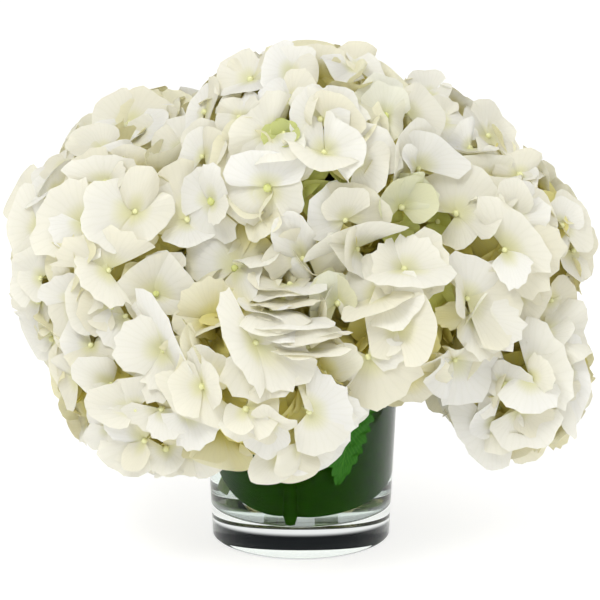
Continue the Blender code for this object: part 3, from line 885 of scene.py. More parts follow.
bud_kinds = bpy.data.collections.new("bud_kinds")
bud = bead_mesh("bud")
bm = bmesh.new()
bm.from_mesh(bud)
stalk = bmesh.ops.create_cone(
    bm,
    cap_ends=True,
    segments=PEDICEL_SIDES,
    radius1=PEDICEL_FOOT,
    radius2=PEDICEL_NECK,
    depth=PEDICEL_LENGTH,
)
bmesh.ops.translate(bm, verts=stalk["verts"], vec=(0, 0, -PEDICEL_LENGTH / 2))
bm.to_mesh(bud)
bm.free()
bud_kinds.objects.link(bpy.data.objects.new("bud", bud))
print("a bud of", len(bud.polygons), "faces")

# %% [markdown]
# One Geometry Nodes tree dresses a head. Its points are the seats of the sepals, and each point carries how
# its sepal is turned, how large it is and which kind it is. After the copies are made real, a noise moves
# every vertex a little, so that no two sepals are alike.

# %% Tree that sets sepals on their seats
SEAT_INPUTS = {
    "Seats": "NodeSocketGeometry",
    "Kinds": "NodeSocketCollection",
    "Waver": "NodeSocketFloat",
    "Waver Scale": "NodeSocketFloat",
    "Seed": "NodeSocketFloat",
    "Finish": "NodeSocketMaterial",
}


def seat_tree():
    """The tree and the identifiers of its inputs by name."""
    tree = bpy.data.node_groups.new("set_on_seats", "GeometryNodeTree")
    ports = {}
    for title, kind in SEAT_INPUTS.items():
        ports[title] = tree.interface.new_socket(title, in_out="INPUT", socket_type=kind).identifier
    tree.interface.new_socket("Head", in_out="OUTPUT", socket_type="NodeSocketGeometry")
    add = functools.partial(add_node, tree)
    given = add("NodeGroupInput").outputs
    kinds = add(
        "GeometryNodeCollectionInfo",
        {"Collection": given["Kinds"], "Separate Children": True, "Reset Children": True},
    )
    turn, grow, kind = (
        add("GeometryNodeInputNamedAttribute", {"Name": title}, data_type=data_type)
        for title, data_type in (("turn", "FLOAT_VECTOR"), ("grow", "FLOAT_VECTOR"), ("kind", "INT"))
    )
    copies = add(
        "GeometryNodeInstanceOnPoints",
        {
            "Points": given["Seats"],
            "Instance": kinds,
            "Pick Instance": True,
            "Instance Index": kind,
            "Rotation": turn,
            "Scale": grow,
        },
    )
    real = add("GeometryNodeRealizeInstances", {"Geometry": copies})
    noise = add(
        "ShaderNodeTexNoise",
        {"W": given["Seed"], "Scale": given["Waver Scale"], "Detail": 1.0},
        noise_dimensions="4D",
    )
    centred = add(
        "ShaderNodeVectorMath", {0: noise.outputs["Color"], 1: (0.5, 0.5, 0.5)}, operation="SUBTRACT"
    )
    shift = add("ShaderNodeVectorMath", {0: centred, "Scale": given["Waver"]}, operation="SCALE")
    moved = add("GeometryNodeSetPosition", {"Geometry": real, "Offset": shift})
    finished = add("GeometryNodeSetMaterial", {"Geometry": moved, "Material": given["Finish"]})
    add("NodeGroupOutput", {"Head": finished})
    return tree, ports


# %% Copies on seats
# One field carries each sepal's share of yellow-green from depth, which is partly painted shade.
SEAT_FIELDS = {
    "turn": "FLOAT_VECTOR",
    "grow": "FLOAT_VECTOR",
    "kind": "INT",
    "deep": "FLOAT",
    "tone": "FLOAT",
    "young": "FLOAT",
    "proud": "FLOAT",
}
WAVER_SCALE = 0.045 / MM
SEAT_TREE, SEAT_PORTS = seat_tree()


def set_on_seats(name, seats, kinds, waver, seed, finish):
    """The mesh of all the copies that stand on the seats."""
    cloud = bpy.data.meshes.new(f"{name}_seats")
    cloud.from_pydata([seat["place"] for seat in seats], [], [])
    for title, kind in SEAT_FIELDS.items():
        layer = cloud.attributes.new(title, kind, "POINT")
        field = "vector" if kind == "FLOAT_VECTOR" else "value"
        layer.data.foreach_set(field, np.ravel([seat[title] for seat in seats]))
    holder = scratch_object(name, cloud)
    grower = holder.modifiers.new("set_on_seats", "NODES")
    grower.node_group = SEAT_TREE
    inputs = {"Kinds": kinds, "Waver": waver, "Waver Scale": WAVER_SCALE, "Seed": seed, "Finish": finish}
    for title, value in inputs.items():
        grower[SEAT_PORTS[title]] = value
    return evaluated_mesh(holder)


print(SEAT_TREE.name, "has", len(SEAT_TREE.nodes), "nodes")

# %% [markdown]
# White sepals are thin soft tissue. They have no gloss but a faint sheen, they let light through, and veins
# fan out from the claw. Near the claw they keep the yellow-green of the young flower. Deep in the head they
# turn yellow-green too: partly the colour of the younger inner florets, and partly painted shade that stands
# in for the warm light deep between the layers. A plain white skin looks like plaster. A diffuse Principled
# skin mixed with Translucent looks alive, and attributes tell how young a floret is and how much
# yellow-green, painted shade included, it takes from its depth.

# %% Finish of the sepals
VEINS = 15
SEPAL_WANDER = 0.12 / MM
SEPAL_GRAIN = 1.4 / MM

# Hydrangea sepal: white living tissue, matt, with fine fanned veins.
sepal_skin, add = new_material("hydrangea_sepal")
uv = add("ShaderNodeUVMap", uv_map="blade")
split = add("ShaderNodeSeparateXYZ", {"Vector": uv})
around, outwards = split.outputs["X"], split.outputs["Y"]
place = add("ShaderNodeTexCoord").outputs["Object"]
wander = add("ShaderNodeTexNoise", {"Vector": place, "Scale": SEPAL_WANDER, "Detail": 2.0})
bent = add("ShaderNodeMath", {0: wander, 1: 0.05, 2: around}, operation="MULTIPLY_ADD")
fans = []
for veins, sharpness in ((VEINS, 0.35), (2 * VEINS, 0.3)):
    turn = add("ShaderNodeMath", {0: bent, 1: veins * math.pi}, operation="MULTIPLY")
    wave = add("ShaderNodeMath", {0: turn}, operation="SINE")
    flank = add("ShaderNodeMath", {0: wave}, operation="ABSOLUTE")
    field = add("ShaderNodeMath", {0: flank, 1: sharpness}, operation="POWER")
    fans.append(add("ShaderNodeMath", {0: 1.0, 1: field}, operation="SUBTRACT"))
fine_vein = add("ShaderNodeMath", {0: fans[1], 1: outwards}, operation="MULTIPLY")
fine_vein = add("ShaderNodeMath", {0: fine_vein, 1: 0.6}, operation="MULTIPLY")
vein = add("ShaderNodeMath", {0: fans[0], 1: fine_vein}, operation="MAXIMUM")
deep, tone, young = (
    add("ShaderNodeAttribute", attribute_name=title).outputs["Fac"] for title in ("deep", "tone", "young")
)
claw = add(
    "ShaderNodeMapRange",
    {"Value": outwards, "From Min": 0.42, "From Max": 0.0},
    interpolation_type="SMOOTHSTEP",
)
colour = add(
    "ShaderNodeMix", {SHARE: tone, FROM: linear("#fcfcfc"), TO: linear("#f8f6ea")}, data_type="RGBA"
)
# Deeper in the head the sepals turn yellow-green: partly the colour of younger inner florets and a random
# cream tone, and partly painted shade.
for where, most, tint in (
    (claw, 0.5, "#e6e69a"), (deep, 0.95, "#efe886"), (young, 0.85, "#dae17c"), (vein, 0.14, "#dadac8")
):
    share = add("ShaderNodeMath", {0: where, 1: most}, operation="MULTIPLY")
    colour = add("ShaderNodeMix", {SHARE: share, FROM: colour, TO: linear(tint)}, data_type="RGBA")
grain = add("ShaderNodeTexNoise", {"Vector": place, "Scale": SEPAL_GRAIN, "Detail": 2.0})
sunk = add("ShaderNodeMath", {0: vein, 1: -1.0}, operation="MULTIPLY")
height = add("ShaderNodeMath", {0: grain, 1: 0.25, 2: sunk}, operation="MULTIPLY_ADD")
bump = add("ShaderNodeBump", {"Height": height, "Strength": 0.3, "Distance": 0.25 * MM})
face = add(
    "ShaderNodeBsdfPrincipled",
    {
        "Base Color": colour,
        "Roughness": 0.6,
        "Specular IOR Level": 0.25,
        "Sheen Weight": 0.05,
        "Normal": bump,
    },
)
# The light let through takes the sepal's colour, painted shade included, tinted a warm cream.
cream_and_shade = add(
    "ShaderNodeMix",
    {SHARE: 1.0, FROM: colour, TO: linear("#fbfaf3")},
    data_type="RGBA",
    blend_type="MULTIPLY",
)
through = add("ShaderNodeBsdfTranslucent", {"Color": cream_and_shade, "Normal": bump})
both = add("ShaderNodeMixShader", {0: 0.45, 1: face, 2: through})
add("ShaderNodeOutputMaterial", {"Surface": both})
print(sepal_skin.name, "has", len(sepal_skin.node_tree.nodes), "nodes")

# %% [markdown]
# Most buds are cream. A few that are about to open are pale green, and florets with such a bud stand out
# in the photograph. One finish does both, and an attribute of each bud says which it is.

# %% Finish of buds and flower stalks
BUD_BLOTCHES = 0.5 / MM
CREAM = ("#e8e7b0", "#f2f0cc")
GREEN = ("#bfc868", "#dade98")

# Young plant skin of buds and flower stalks: creamy in most, pale green in some, softly glossy.
bud_skin, add = new_material("hydrangea_bud_skin")
place = add("ShaderNodeTexCoord").outputs["Object"]
blotch = add("ShaderNodeTexNoise", {"Vector": place, "Scale": BUD_BLOTCHES, "Detail": 3.0})
young = add("ShaderNodeAttribute", attribute_name="young").outputs["Fac"]
creamy, green = (
    add("ShaderNodeMix", {SHARE: blotch, FROM: linear(one), TO: linear(two)}, data_type="RGBA")
    for one, two in (CREAM, GREEN)
)
colour = add("ShaderNodeMix", {SHARE: young, FROM: creamy, TO: green}, data_type="RGBA")
bump = add("ShaderNodeBump", {"Height": blotch, "Strength": 0.3, "Distance": 0.2 * MM})
skin = add(
    "ShaderNodeBsdfPrincipled",
    {"Base Color": colour, "Roughness": 0.65, "Specular IOR Level": 0.25, "Normal": bump},
)
add("ShaderNodeOutputMaterial", {"Surface": skin})
print(bud_skin.name, "has", len(bud_skin.node_tree.nodes), "nodes")

# %% [markdown]
# The heads of a tight bouquet press together into one rounded surface. A metaball could draw it, but the
# florets have to ask it questions. So it is a smooth union of spheres in numbers: for any point it tells
# how far outside it lies, which way is out, and which head is nearest.

# %% The bouquet's rounded surface
BLEND = 9 * MM
centres = np.array([centre for centre, reach in HEADS.values()]) * MM
reaches = np.array([reach for centre, reach in HEADS.values()]) * MM


def bouquet_depth(points):
    """How far points lie outside the bouquet's rounded surface, the way out, and the nearest head."""
    offsets = np.asarray(points, float)[..., None, :] - centres
    lengths = np.linalg.norm(offsets, axis=-1)
    outside = lengths - reaches
    shares = np.exp(-(outside - outside.min(-1, keepdims=True)) / BLEND)
    total = shares.sum(-1, keepdims=True)
    depth = outside.min(-1) - BLEND * np.log(total[..., 0])
    ways = (offsets / lengths[..., None] * (shares / total)[..., None]).sum(-2)
    return depth, ways / np.linalg.norm(ways, axis=-1, keepdims=True), outside.argmin(-1)


print("the middle of the heads lies", round(-bouquet_depth(centres.mean(0))[0] / MM), "mm deep")

# %% Seats of sepals and buds
PROUD = 6 * MM
PROUD_BY_HAND = 15 * MM
CLAW_OFFSET = 0.2 * MM
CLAW_STEP = 0.7 * MM


def turn_of(along, face):
    """The Euler angles that turn +X along one way and +Z, as nearly as it can, to another."""
    across = face.cross(along).normalized()
    up = along.cross(across).normalized()
    return tuple(Matrix((along, across, up)).transposed().to_euler())


def sepal_seat(place, along, face, length, width, kind, look):
    """The seat of one sepal: its claw, the way it points, the way it faces, its size and its kind."""
    draw = look["draw"]
    index = list(SEPAL_KINDS).index(kind) * SEPALS_A_KIND + draw.randrange(SEPALS_A_KIND)
    longer, wider = length / SEPAL_LENGTH, width / SEPAL_WIDTH
    return {
        "place": place,
        "turn": turn_of(along.normalized(), face),
        "grow": (longer, wider, 0.5 * (longer + wider)),
        "kind": index,
        "deep": look["deep"],
        "tone": draw.random(),
        "young": look["young"],
        "proud": look["proud"],
    }


def bud_seat(place, axis, look, share=0.8):
    """The seat of the bud of a floret."""
    size = share * look["draw"].uniform(0.85, 1.15)
    return {
        "place": place,
        "turn": turn_of(axis.orthogonal().normalized(), axis),
        "grow": (size, size, size),
        "kind": 0,
        "deep": 0.0,
        "tone": 0.0,
        "young": look["bud"],
        "proud": look["proud"],
    }


# %% [markdown]
# Florets that the eye picks out are listed one by one. Each is given by the place of its bud in the frame
# and, for each sepal, the place of its tip, how many degrees it is raised from the floret's plane, and its
# width as a share of 28 mm. A ray through the bud's place meets the bouquet's surface, and the floret sits
# there.

# %% Florets listed one by one
HAND_DEPTH = 2 * MM
LONGEST_SEPAL = 33 * MM
FULL_WIDTH = 28 * MM
TOWARDS_VIEW = 0.6
HAND_SEED = 11
HAND_KINDS = ("flat", "flat", "cupped", "reflexed", "ruffled")
WAY_STEPS = 30
RAY_STEPS = np.linspace(CAMERA_DISTANCE - 0.2, CAMERA_DISTANCE + 0.1, 400)
hand_seats = {name: {"sepals": [], "buds": []} for name in HEADS}
hand_places = []
hand_draw = random.Random(HAND_SEED)


def on_surface(across, down, depth):
    """Where the ray of a pixel meets the bouquet, the way out there, and the head's name."""
    middle = FRAME_PIXELS / 2
    aim = view_right * (across - middle) + view_up * (middle - down) - view_back * FOCAL_PIXELS
    line = np.array(camera.location) + np.outer(RAY_STEPS, aim.normalized())
    outside, ways, nearest = bouquet_depth(line)
    inside = outside < -depth
    index = int(np.argmax(inside)) if inside.any() else int(np.argmin(outside))
    return Vector(line[index]), Vector(ways[index]), list(HEADS)[nearest[index]]


def floret(eye, sepals, kind=None, young=0.0, facing=None, depth=HAND_DEPTH, ripe=False):
    """Sets a floret by its eye in the frame. Each sepal is its tip across and down, raise and width."""
    place, out, head = on_surface(*eye, depth)
    axis = out + TOWARDS_VIEW * view_back
    if facing:
        aside, upward = (math.tan(math.radians(turn)) for turn in facing)
        axis = view_back + aside * view_right + upward * view_up
    axis.normalize()
    look = {"draw": hand_draw, "deep": 0.0, "young": young, "proud": PROUD_BY_HAND}
    look["bud"] = 0.9 if ripe else 0.3
    scale = (place - camera.location).dot(-view_back) / FOCAL_PIXELS
    for order, (across, down, raised, wide) in enumerate(sepals):
        flat = view_right * (across - eye[0]) + view_up * (eye[1] - down)
        seen = flat.length * scale
        flat.normalize()
        steepest = math.sqrt(max((LONGEST_SEPAL / seen) ** 2 - 1, 0.0))
        slopes = [steepest * k / WAY_STEPS for k in range(-WAY_STEPS, WAY_STEPS + 1)]
        ways = [(flat + view_back * slope).normalized() for slope in slopes]
        wanted = math.sin(math.radians(raised))
        along = min(ways, key=lambda way: abs(way.dot(axis) - wanted))
        length = min(seen / max(along.dot(flat), 0.2), LONGEST_SEPAL)
        face = (axis - along * along.dot(axis)).normalized()
        chosen = kind or hand_draw.choice(HAND_KINDS)
        start = place + along * CLAW_OFFSET + axis * CLAW_STEP * (order % 2)
        seat = sepal_seat(start, along, face, length, wide * FULL_WIDTH, chosen, look)
        hand_seats[head]["sepals"].append(seat)
    hand_seats[head]["buds"].append(bud_seat(place, axis, look, 1.15 if ripe else 0.9))
    hand_places.append(place)


def set_florets(plans):
    """Sets a group of florets."""
    for plan in plans:
        floret(**plan)
    print(len(plans), "florets,", len(hand_places), "in all")


# %% Florets of the crown
CROWN = (
    {"eye": (324, 153), "sepals": ((289, 143, 10, 1.2), (361, 138, 35, 1.2), (324, 164, 70, 1.5))},
    {"eye": (354, 161), "sepals": ((375, 124, 5, 1.3), (388, 177, 5, 1.2))},
    {"eye": (268, 188), "ripe": True,
     "sepals": ((217, 181, 5, 1.3), (262, 150, 25, 1.4), (300, 177, 8, 1.1), (244, 223, 0, 1.4))},
    {"eye": (271, 134), "sepals": ((244, 110, 10, 1.4), (232, 150, 10, 1.1), (276, 158, 45, 1.0))},
    {"eye": (284, 134), "young": 0.9,
     "sepals": ((288, 118, 30, 0.5), (276, 119, 40, 0.35), (262, 143, 20, 0.6), (295, 148, 30, 0.5))},
    {"eye": (320, 120), "sepals": ((291, 104, 15, 1.0), (330, 88, 15, 1.3), (345, 112, 40, 0.9))},
    {"eye": (328, 124), "sepals": ((362, 108, 15, 1.0), (350, 96, 25, 1.0))},
    {"eye": (291, 74), "sepals": ((281, 47, 10, 1.0), (262, 62, 20, 1.2), (312, 66, 30, 0.9))},
    {"eye": (251, 81),
     "sepals": ((247, 54, 5, 0.95), (217, 70, 10, 1.0), (268, 62, 10, 1.1), (245, 96, 30, 0.9))},
    {"eye": (355, 69), "sepals": ((340, 44, 5, 1.1), (375, 58, 10, 0.9), (325, 72, 30, 0.8))},
    {"eye": (291, 101), "sepals": ((286, 77, 15, 1.0), (318, 88, 20, 1.2), (262, 95, 20, 0.9))},
    {"eye": (203, 157), "sepals": ((196, 119, 10, 0.9), (184, 148, 10, 1.0), (222, 140, 30, 0.9))},
    {"eye": (206, 113), "sepals": ((200, 97, 20, 0.9), (226, 102, 20, 1.0), (187, 108, 10, 1.0))},
    {"eye": (240, 118), "sepals": ((238, 96, 20, 0.9), (216, 121, 15, 1.0), (258, 105, 20, 0.8))},
    {"eye": (342, 171), "young": 0.85, "depth": 9 * MM,
     "sepals": ((334, 182, 20, 0.7), (352, 180, 20, 0.7), (341, 160, 40, 0.5))},
    {"eye": (304, 176), "young": 1.0, "depth": 13 * MM,
     "sepals": ((298, 194, 20, 0.9), (318, 188, 20, 0.9), (296, 164, 30, 0.7))},
    {"eye": (318, 198), "young": 0.8, "depth": 12 * MM,
     "sepals": ((300, 208, 20, 0.9), (334, 208, 20, 0.9), (322, 180, 30, 0.8))},
)
set_florets(CROWN)

# %% Florets of the left side
LEFT_SIDE = (
    {"eye": (130, 124),
     "sepals": ((94, 119, 5, 1.35), (166, 100, 5, 1.4), (172, 142, 20, 0.9), (104, 143, 50, 0.9))},
    {"eye": (106, 184), "kind": "serrate",
     "sepals": ((67, 170, 5, 1.3), (104, 153, 35, 1.4), (127, 172, 40, 0.6))},
    {"eye": (135, 212),
     "sepals": ((80, 208, 10, 1.4), (145, 166, 45, 0.6), (120, 238, 10, 1.1), (160, 234, 10, 1.2))},
    {"eye": (83, 224), "sepals": ((40, 200, 5, 1.6), (62, 252, 10, 1.2)), "kind": "serrate"},
    {"eye": (33, 196), "sepals": ((11, 188, 5, 1.1), (44, 177, 10, 1.0), (16, 214, 5, 0.9))},
    {"eye": (40, 228), "sepals": ((11, 226, 5, 1.3), (28, 252, 5, 1.1), (52, 206, 20, 1.0))},
    {"eye": (106, 152), "sepals": ((67, 137, 20, 1.0), (78, 160, 30, 0.8), (88, 128, 20, 0.8))},
    {"eye": (66, 168), "sepals": ((28, 174, 10, 0.8), (40, 162, 20, 0.6), (54, 149, 20, 0.6))},
    {"eye": (187, 220), "sepals": ((152, 196, 5, 1.1), (170, 158, 10, 1.3), (196, 246, 10, 1.0))},
    {"eye": (184, 150), "sepals": ((162, 128, 20, 1.0), (150, 152, 30, 0.9), (188, 122, 10, 0.9))},
    {"eye": (109, 270), "kind": "serrate",
     "sepals": ((100, 229, 15, 1.7), (72, 270, 0, 1.4), (90, 292, 45, 1.2))},
    {"eye": (156, 294), "kind": "flat", "ripe": True,
     "sepals": ((138, 262, 10, 1.4), (191, 276, 10, 1.4), (124, 304, 0, 1.2), (162, 318, 10, 1.1))},
    {"eye": (112, 307), "sepals": ((64, 302, 10, 1.2), (80, 322, 20, 0.9), (100, 330, 20, 1.0))},
    {"eye": (75, 300), "sepals": ((46, 300, 5, 1.7), (62, 272, 10, 1.1)), "kind": "serrate"},
    {"eye": (42, 278), "sepals": ((15, 266, 5, 1.1), (22, 288, 20, 0.8), (30, 252, 20, 0.8))},
    {"eye": (40, 300), "sepals": ((9, 297, 5, 0.5), (14, 312, 10, 0.6), (52, 318, 20, 0.7))},
    {"eye": (54, 338), "sepals": ((10, 341, 5, 0.9), (28, 368, 5, 1.0), (10, 318, 15, 0.8))},
    {"eye": (164, 351), "kind": "serrate",
     "sepals": ((117, 327, 35, 1.1), (178, 330, 50, 2.0), (127, 378, 0, 1.5), (172, 389, 10, 1.2))},
    {"eye": (126, 316), "sepals": ((94, 328, 5, 1.1), (110, 350, 5, 1.0)), "kind": "serrate"},
    {"eye": (92, 345), "sepals": ((62, 349, 20, 0.9), (90, 370, 20, 0.9), (108, 356, 30, 0.8))},
)
set_florets(LEFT_SIDE)

# %% Florets of the low left side
LOW_LEFT = (
    {"eye": (78, 378), "sepals": ((52, 382, 10, 1.3), (72, 352, 20, 1.0))},
    {"eye": (112, 384), "sepals": ((72, 361, 30, 0.8), (98, 398, 40, 0.7))},
    {"eye": (136, 409), "sepals": ((84, 396, 20, 0.9), (112, 384, 20, 1.0))},
    {"eye": (145, 440), "facing": (-15, -15),
     "sepals": ((112, 405, 20, 0.9), (108, 426, 10, 1.2), (101, 462, 5, 1.1), (127, 475, 20, 0.45))},
    {"eye": (112, 426), "sepals": ((86, 427, 5, 1.4), (84, 449, 10, 0.5))},
    {"eye": (162, 408), "sepals": ((150, 436, 10, 1.2), (170, 442, 30, 0.8)), "kind": "serrate"},
    {"eye": (188, 412), "sepals": ((181, 441, 20, 1.0), (210, 446, 15, 1.3)), "kind": "serrate"},
    {"eye": (203, 386),
     "sepals": ((216, 349, 5, 1.0), (172, 389, 15, 0.9), (186, 418, 5, 1.4), (219, 384, 50, 1.0))},
    {"eye": (190, 447), "facing": (0, -15),
     "sepals": ((230, 460, 5, 1.1), (197, 475, 5, 1.0), (168, 458, 5, 1.0))},
    {"eye": (166, 448), "facing": (-5, -15),
     "sepals": ((166, 476, 10, 0.6), (150, 466, 10, 0.9), (184, 462, 15, 1.0))},
)
set_florets(LOW_LEFT)

# %% Florets of the middle
MIDDLE = (
    {"eye": (213, 201), "kind": "serrate", "ripe": True,
     "sepals": ((190, 170, 5, 1.2), (214, 166, 45, 0.6), (198, 233, 0, 1.3), (224, 222, 40, 0.6))},
    {"eye": (236, 269), "kind": "flat", "ripe": True,
     "sepals": ((190, 230, 0, 1.3), (260, 234, 0, 1.5), (213, 305, 0, 1.5), (247, 306, 30, 0.9))},
    {"eye": (303, 258), "sepals": ((276, 236, 10, 1.1), (290, 270, 20, 0.9), (280, 216, 20, 0.8))},
    {"eye": (345, 220), "sepals": ((364, 186, 10, 1.3), (336, 185, 10, 0.8), (307, 211, 10, 1.0))},
    {"eye": (357, 249),
     "sepals": ((307, 243, 0, 1.3), (350, 219, 35, 1.9), (332, 253, 60, 0.7), (344, 266, 50, 1.0))},
    {"eye": (338, 304), "young": 0.2,
     "sepals": ((309, 299, 15, 1.2), (314, 283, 40, 0.9), (352, 286, 50, 0.8))},
    {"eye": (378, 295), "sepals": ((350, 272, 15, 1.2), (416, 319, 10, 1.1), (384, 312, 50, 1.3))},
    {"eye": (290, 286), "facing": (-10, 64),
     "sepals": ((256, 292, 12, 1.2), (300, 296, 12, 1.2), (308, 284, 12, 1.0))},
    {"eye": (284, 300), "facing": (-5, 72), "kind": "serrate",
     "sepals": ((258, 302, 5, 1.2), (286, 308, 5, 1.2), (308, 299, 5, 1.0))},
    {"eye": (272, 311), "facing": (0, 74),
     "sepals": ((242, 312, 5, 1.2), (276, 319, 5, 1.2), (305, 316, 5, 1.0))},
    {"eye": (296, 320), "facing": (0, 70),
     "sepals": ((260, 320, 8, 1.2), (300, 330, 8, 1.4), (330, 326, 8, 1.0))},
    {"eye": (302, 336), "facing": (5, 66),
     "sepals": ((270, 334, 8, 1.2), (304, 344, 8, 1.4), (336, 330, 8, 1.0))},
    {"eye": (306, 350), "facing": (5, 70), "kind": "serrate",
     "sepals": ((274, 350, 8, 1.2), (310, 358, 8, 1.4), (337, 348, 8, 1.0))},
    {"eye": (256, 343), "kind": "serrate",
     "sepals": ((228, 348, 45, 2.0), (264, 317, 20, 0.7), (272, 404, 0, 1.7), (316, 372, 0, 1.2))},
)
set_florets(MIDDLE)

# %% Florets of the front
FRONT = (
    {"eye": (246, 408), "sepals": ((247, 441, 15, 0.9), (226, 431, 40, 0.6), (280, 412, 5, 1.0))},
    {"eye": (269, 422), "sepals": ((253, 439, 20, 0.7), (281, 411, 45, 0.8), (268, 459, 10, 0.8))},
    {"eye": (308, 411), "kind": "serrate",
     "sepals": ((352, 398, 20, 1.6), (357, 437, 0, 1.2), (346, 448, 15, 1.2))},
    {"eye": (284, 446), "facing": (0, -12), "ripe": True,
     "sepals": ((261, 503, 5, 0.76), (315, 502, 5, 0.8))},
    {"eye": (312, 440), "sepals": ((338, 466, 5, 1.2), (318, 470, 10, 0.9)), "facing": (20, -12)},
    {"eye": (300, 440), "sepals": ((313, 476, 20, 1.0), (288, 478, 50, 0.6))},
    {"eye": (368, 356), "kind": "serrate",
     "sepals": ((312, 373, 10, 0.6), (404, 345, 10, 0.6), (392, 404, 0, 1.7))},
)
set_florets(FRONT)

# %% Florets of the right side
RIGHT_SIDE = (
    {"eye": (384, 117), "young": 0.1, "ripe": True,
     "sepals": ((366, 80, 10, 1.1), (388, 84, 20, 0.9), (405, 118, 20, 0.9), (372, 128, 20, 0.9))},
    {"eye": (406, 114), "sepals": ((404, 91, 10, 1.2), (443, 103, 10, 1.1)), "kind": "flat"},
    {"eye": (417, 169), "kind": "cupped",
     "sepals": ((398, 128, 35, 1.4), (440, 130, 25, 1.3), (397, 152, 60, 0.5))},
    {"eye": (456, 214), "sepals": ((458, 169, 10, 2.0), (500, 194, 5, 1.4), (480, 238, 5, 1.3))},
    {"eye": (400, 207), "young": 0.3,
     "sepals": ((407, 176, 30, 0.8), (430, 178, 15, 0.9), (438, 198, 20, 0.7), (380, 186, 20, 0.9))},
    {"eye": (487, 137),
     "sepals": ((505, 113, 5, 1.0), (515, 138, 10, 1.2), (460, 117, 10, 1.1), (496, 169, 5, 0.9))},
    {"eye": (519, 176), "sepals": ((508, 150, 15, 1.1), (530, 168, 10, 0.8), (538, 184, 10, 0.8))},
    {"eye": (440, 120), "sepals": ((430, 96, 10, 1.0), (464, 115, 10, 1.0), (448, 146, 20, 1.4))},
    {"eye": (428, 96), "sepals": ((412, 78, 5, 0.9), (434, 84, 5, 0.8), (448, 102, 10, 0.8))},
    {"eye": (470, 150), "sepals": ((448, 136, 20, 1.2), (482, 166, 30, 0.8), (464, 172, 20, 0.8))},
    {"eye": (510, 222), "sepals": ((514, 174, 20, 0.7), (540, 190, 5, 1.0), (560, 216, 5, 1.1))},
    {"eye": (504, 250), "kind": "serrate",
     "sepals": ((537, 221, 40, 1.9), (556, 280, 5, 1.6), (528, 288, 55, 0.7))},
    {"eye": (466, 299), "sepals": ((486, 261, 15, 1.5), (511, 306, 5, 1.5), (452, 296, 50, 0.8))},
    {"eye": (470, 314), "kind": "serrate",
     "sepals": ((430, 319, 30, 0.5), (484, 359, 20, 0.9), (507, 351, 10, 1.2), (528, 333, 5, 1.0))},
    {"eye": (404, 270), "kind": "serrate",
     "sepals": ((372, 262, 25, 1.1), (434, 243, 25, 1.1), (453, 264, 10, 1.3), (414, 288, 55, 1.7))},
    {"eye": (395, 326), "sepals": ((445, 326, 20, 1.2), (366, 326, 10, 1.2), (410, 343, 15, 1.2))},
    {"eye": (436, 288), "young": 0.8, "depth": 10 * MM,
     "sepals": ((418, 297, 20, 0.7), (448, 282, 20, 0.7), (446, 298, 20, 0.7))},
    {"eye": (397, 230), "young": 0.9, "depth": 9 * MM,
     "sepals": ((409, 214, 20, 0.7), (412, 240, 20, 0.7), (388, 250, 20, 0.8))},
    {"eye": (438, 222), "young": 1.0, "depth": 9 * MM,
     "sepals": ((430, 208, 30, 0.4), (448, 214, 30, 0.4), (436, 238, 30, 0.5))},
    {"eye": (560, 226), "sepals": ((588, 210, 5, 1.2), (579, 234, 10, 1.0), (570, 202, 5, 0.8))},
    {"eye": (572, 250), "sepals": ((595, 236, 5, 0.6), (596, 272, 5, 1.1), (570, 284, 10, 0.9))},
    {"eye": (550, 300), "sepals": ((576, 294, 10, 0.9), (562, 316, 10, 0.8))},
    {"eye": (515, 294), "sepals": ((541, 318, 10, 1.2), (530, 280, 20, 0.9))},
    {"eye": (541, 335), "sepals": ((594, 327, 5, 1.3), (560, 350, 20, 1.0), (520, 326, 20, 0.9))},
)
set_florets(RIGHT_SIDE)

# %% Florets of the low right side
LOW_RIGHT = (
    {"eye": (454, 359), "kind": "ruffled",
     "sepals": ((421, 365, 10, 0.5), (488, 392, 5, 1.4), (431, 390, 15, 0.9), (470, 345, 30, 0.9))},
    {"eye": (446, 385), "sepals": ((438, 408, 5, 1.0), (476, 411, 5, 1.0))},
    {"eye": (495, 422), "facing": (5, -15),
     "sepals": ((472, 418, 20, 0.8), (464, 447, 0, 1.3), (490, 480, 0, 0.8), (518, 440, 30, 1.0))},
    {"eye": (519, 408), "sepals": ((528, 450, 0, 1.2), (547, 430, 5, 0.8))},
    {"eye": (528, 377), "kind": "serrate",
     "sepals": ((571, 358, 10, 1.8), (530, 415, 35, 1.1), (553, 363, 60, 0.7))},
    {"eye": (564, 372), "sepals": ((590, 373, 5, 1.5), (580, 396, 10, 1.0))},
    {"eye": (556, 390), "sepals": ((571, 425, 5, 1.3), (578, 440, 5, 0.3), (566, 402, 30, 0.8))},
    {"eye": (505, 385), "kind": "serrate",
     "sepals": ((480, 380, 10, 1.2), (496, 396, 20, 1.1), (512, 362, 15, 1.1))},
)
set_florets(LOW_RIGHT)

# %% [markdown]
# The other florets fill each head. Scattered points would leave holes and clumps, so directions spread by
# the golden angle keep them evenly spaced, and some disorder hides the pattern. The outer layer is what
# the eye sees, and two deeper layers close the gaps. A floret is an open face, a cup, a hood or bent back,
# which is how far each of its four sepals is raised.

# %% Directions and places of the filling florets
BARE = (((242, 480), 46), ((372, 430), 34), ((312, 188), 28), ((430, 288), 18), ((440, 418), 24))


def even_directions(count, turn):
    """Directions spread evenly over a sphere by the golden angle."""
    found = []
    for i in range(count):
        z = 1 - (2 * i + 1) / count
        swing = turn + i * math.pi * (3 - math.sqrt(5))
        flat = math.sqrt(1 - z * z)
        found.append(Vector((flat * math.cos(swing), flat * math.sin(swing), z)))
    return found


def in_vase(place, room):
    """Whether a point is in or near the vase."""
    flat = math.hypot(place.x, place.y)
    return place.z < VASE_HEIGHT + room and flat < outer_radius(VASE_HEIGHT) + room


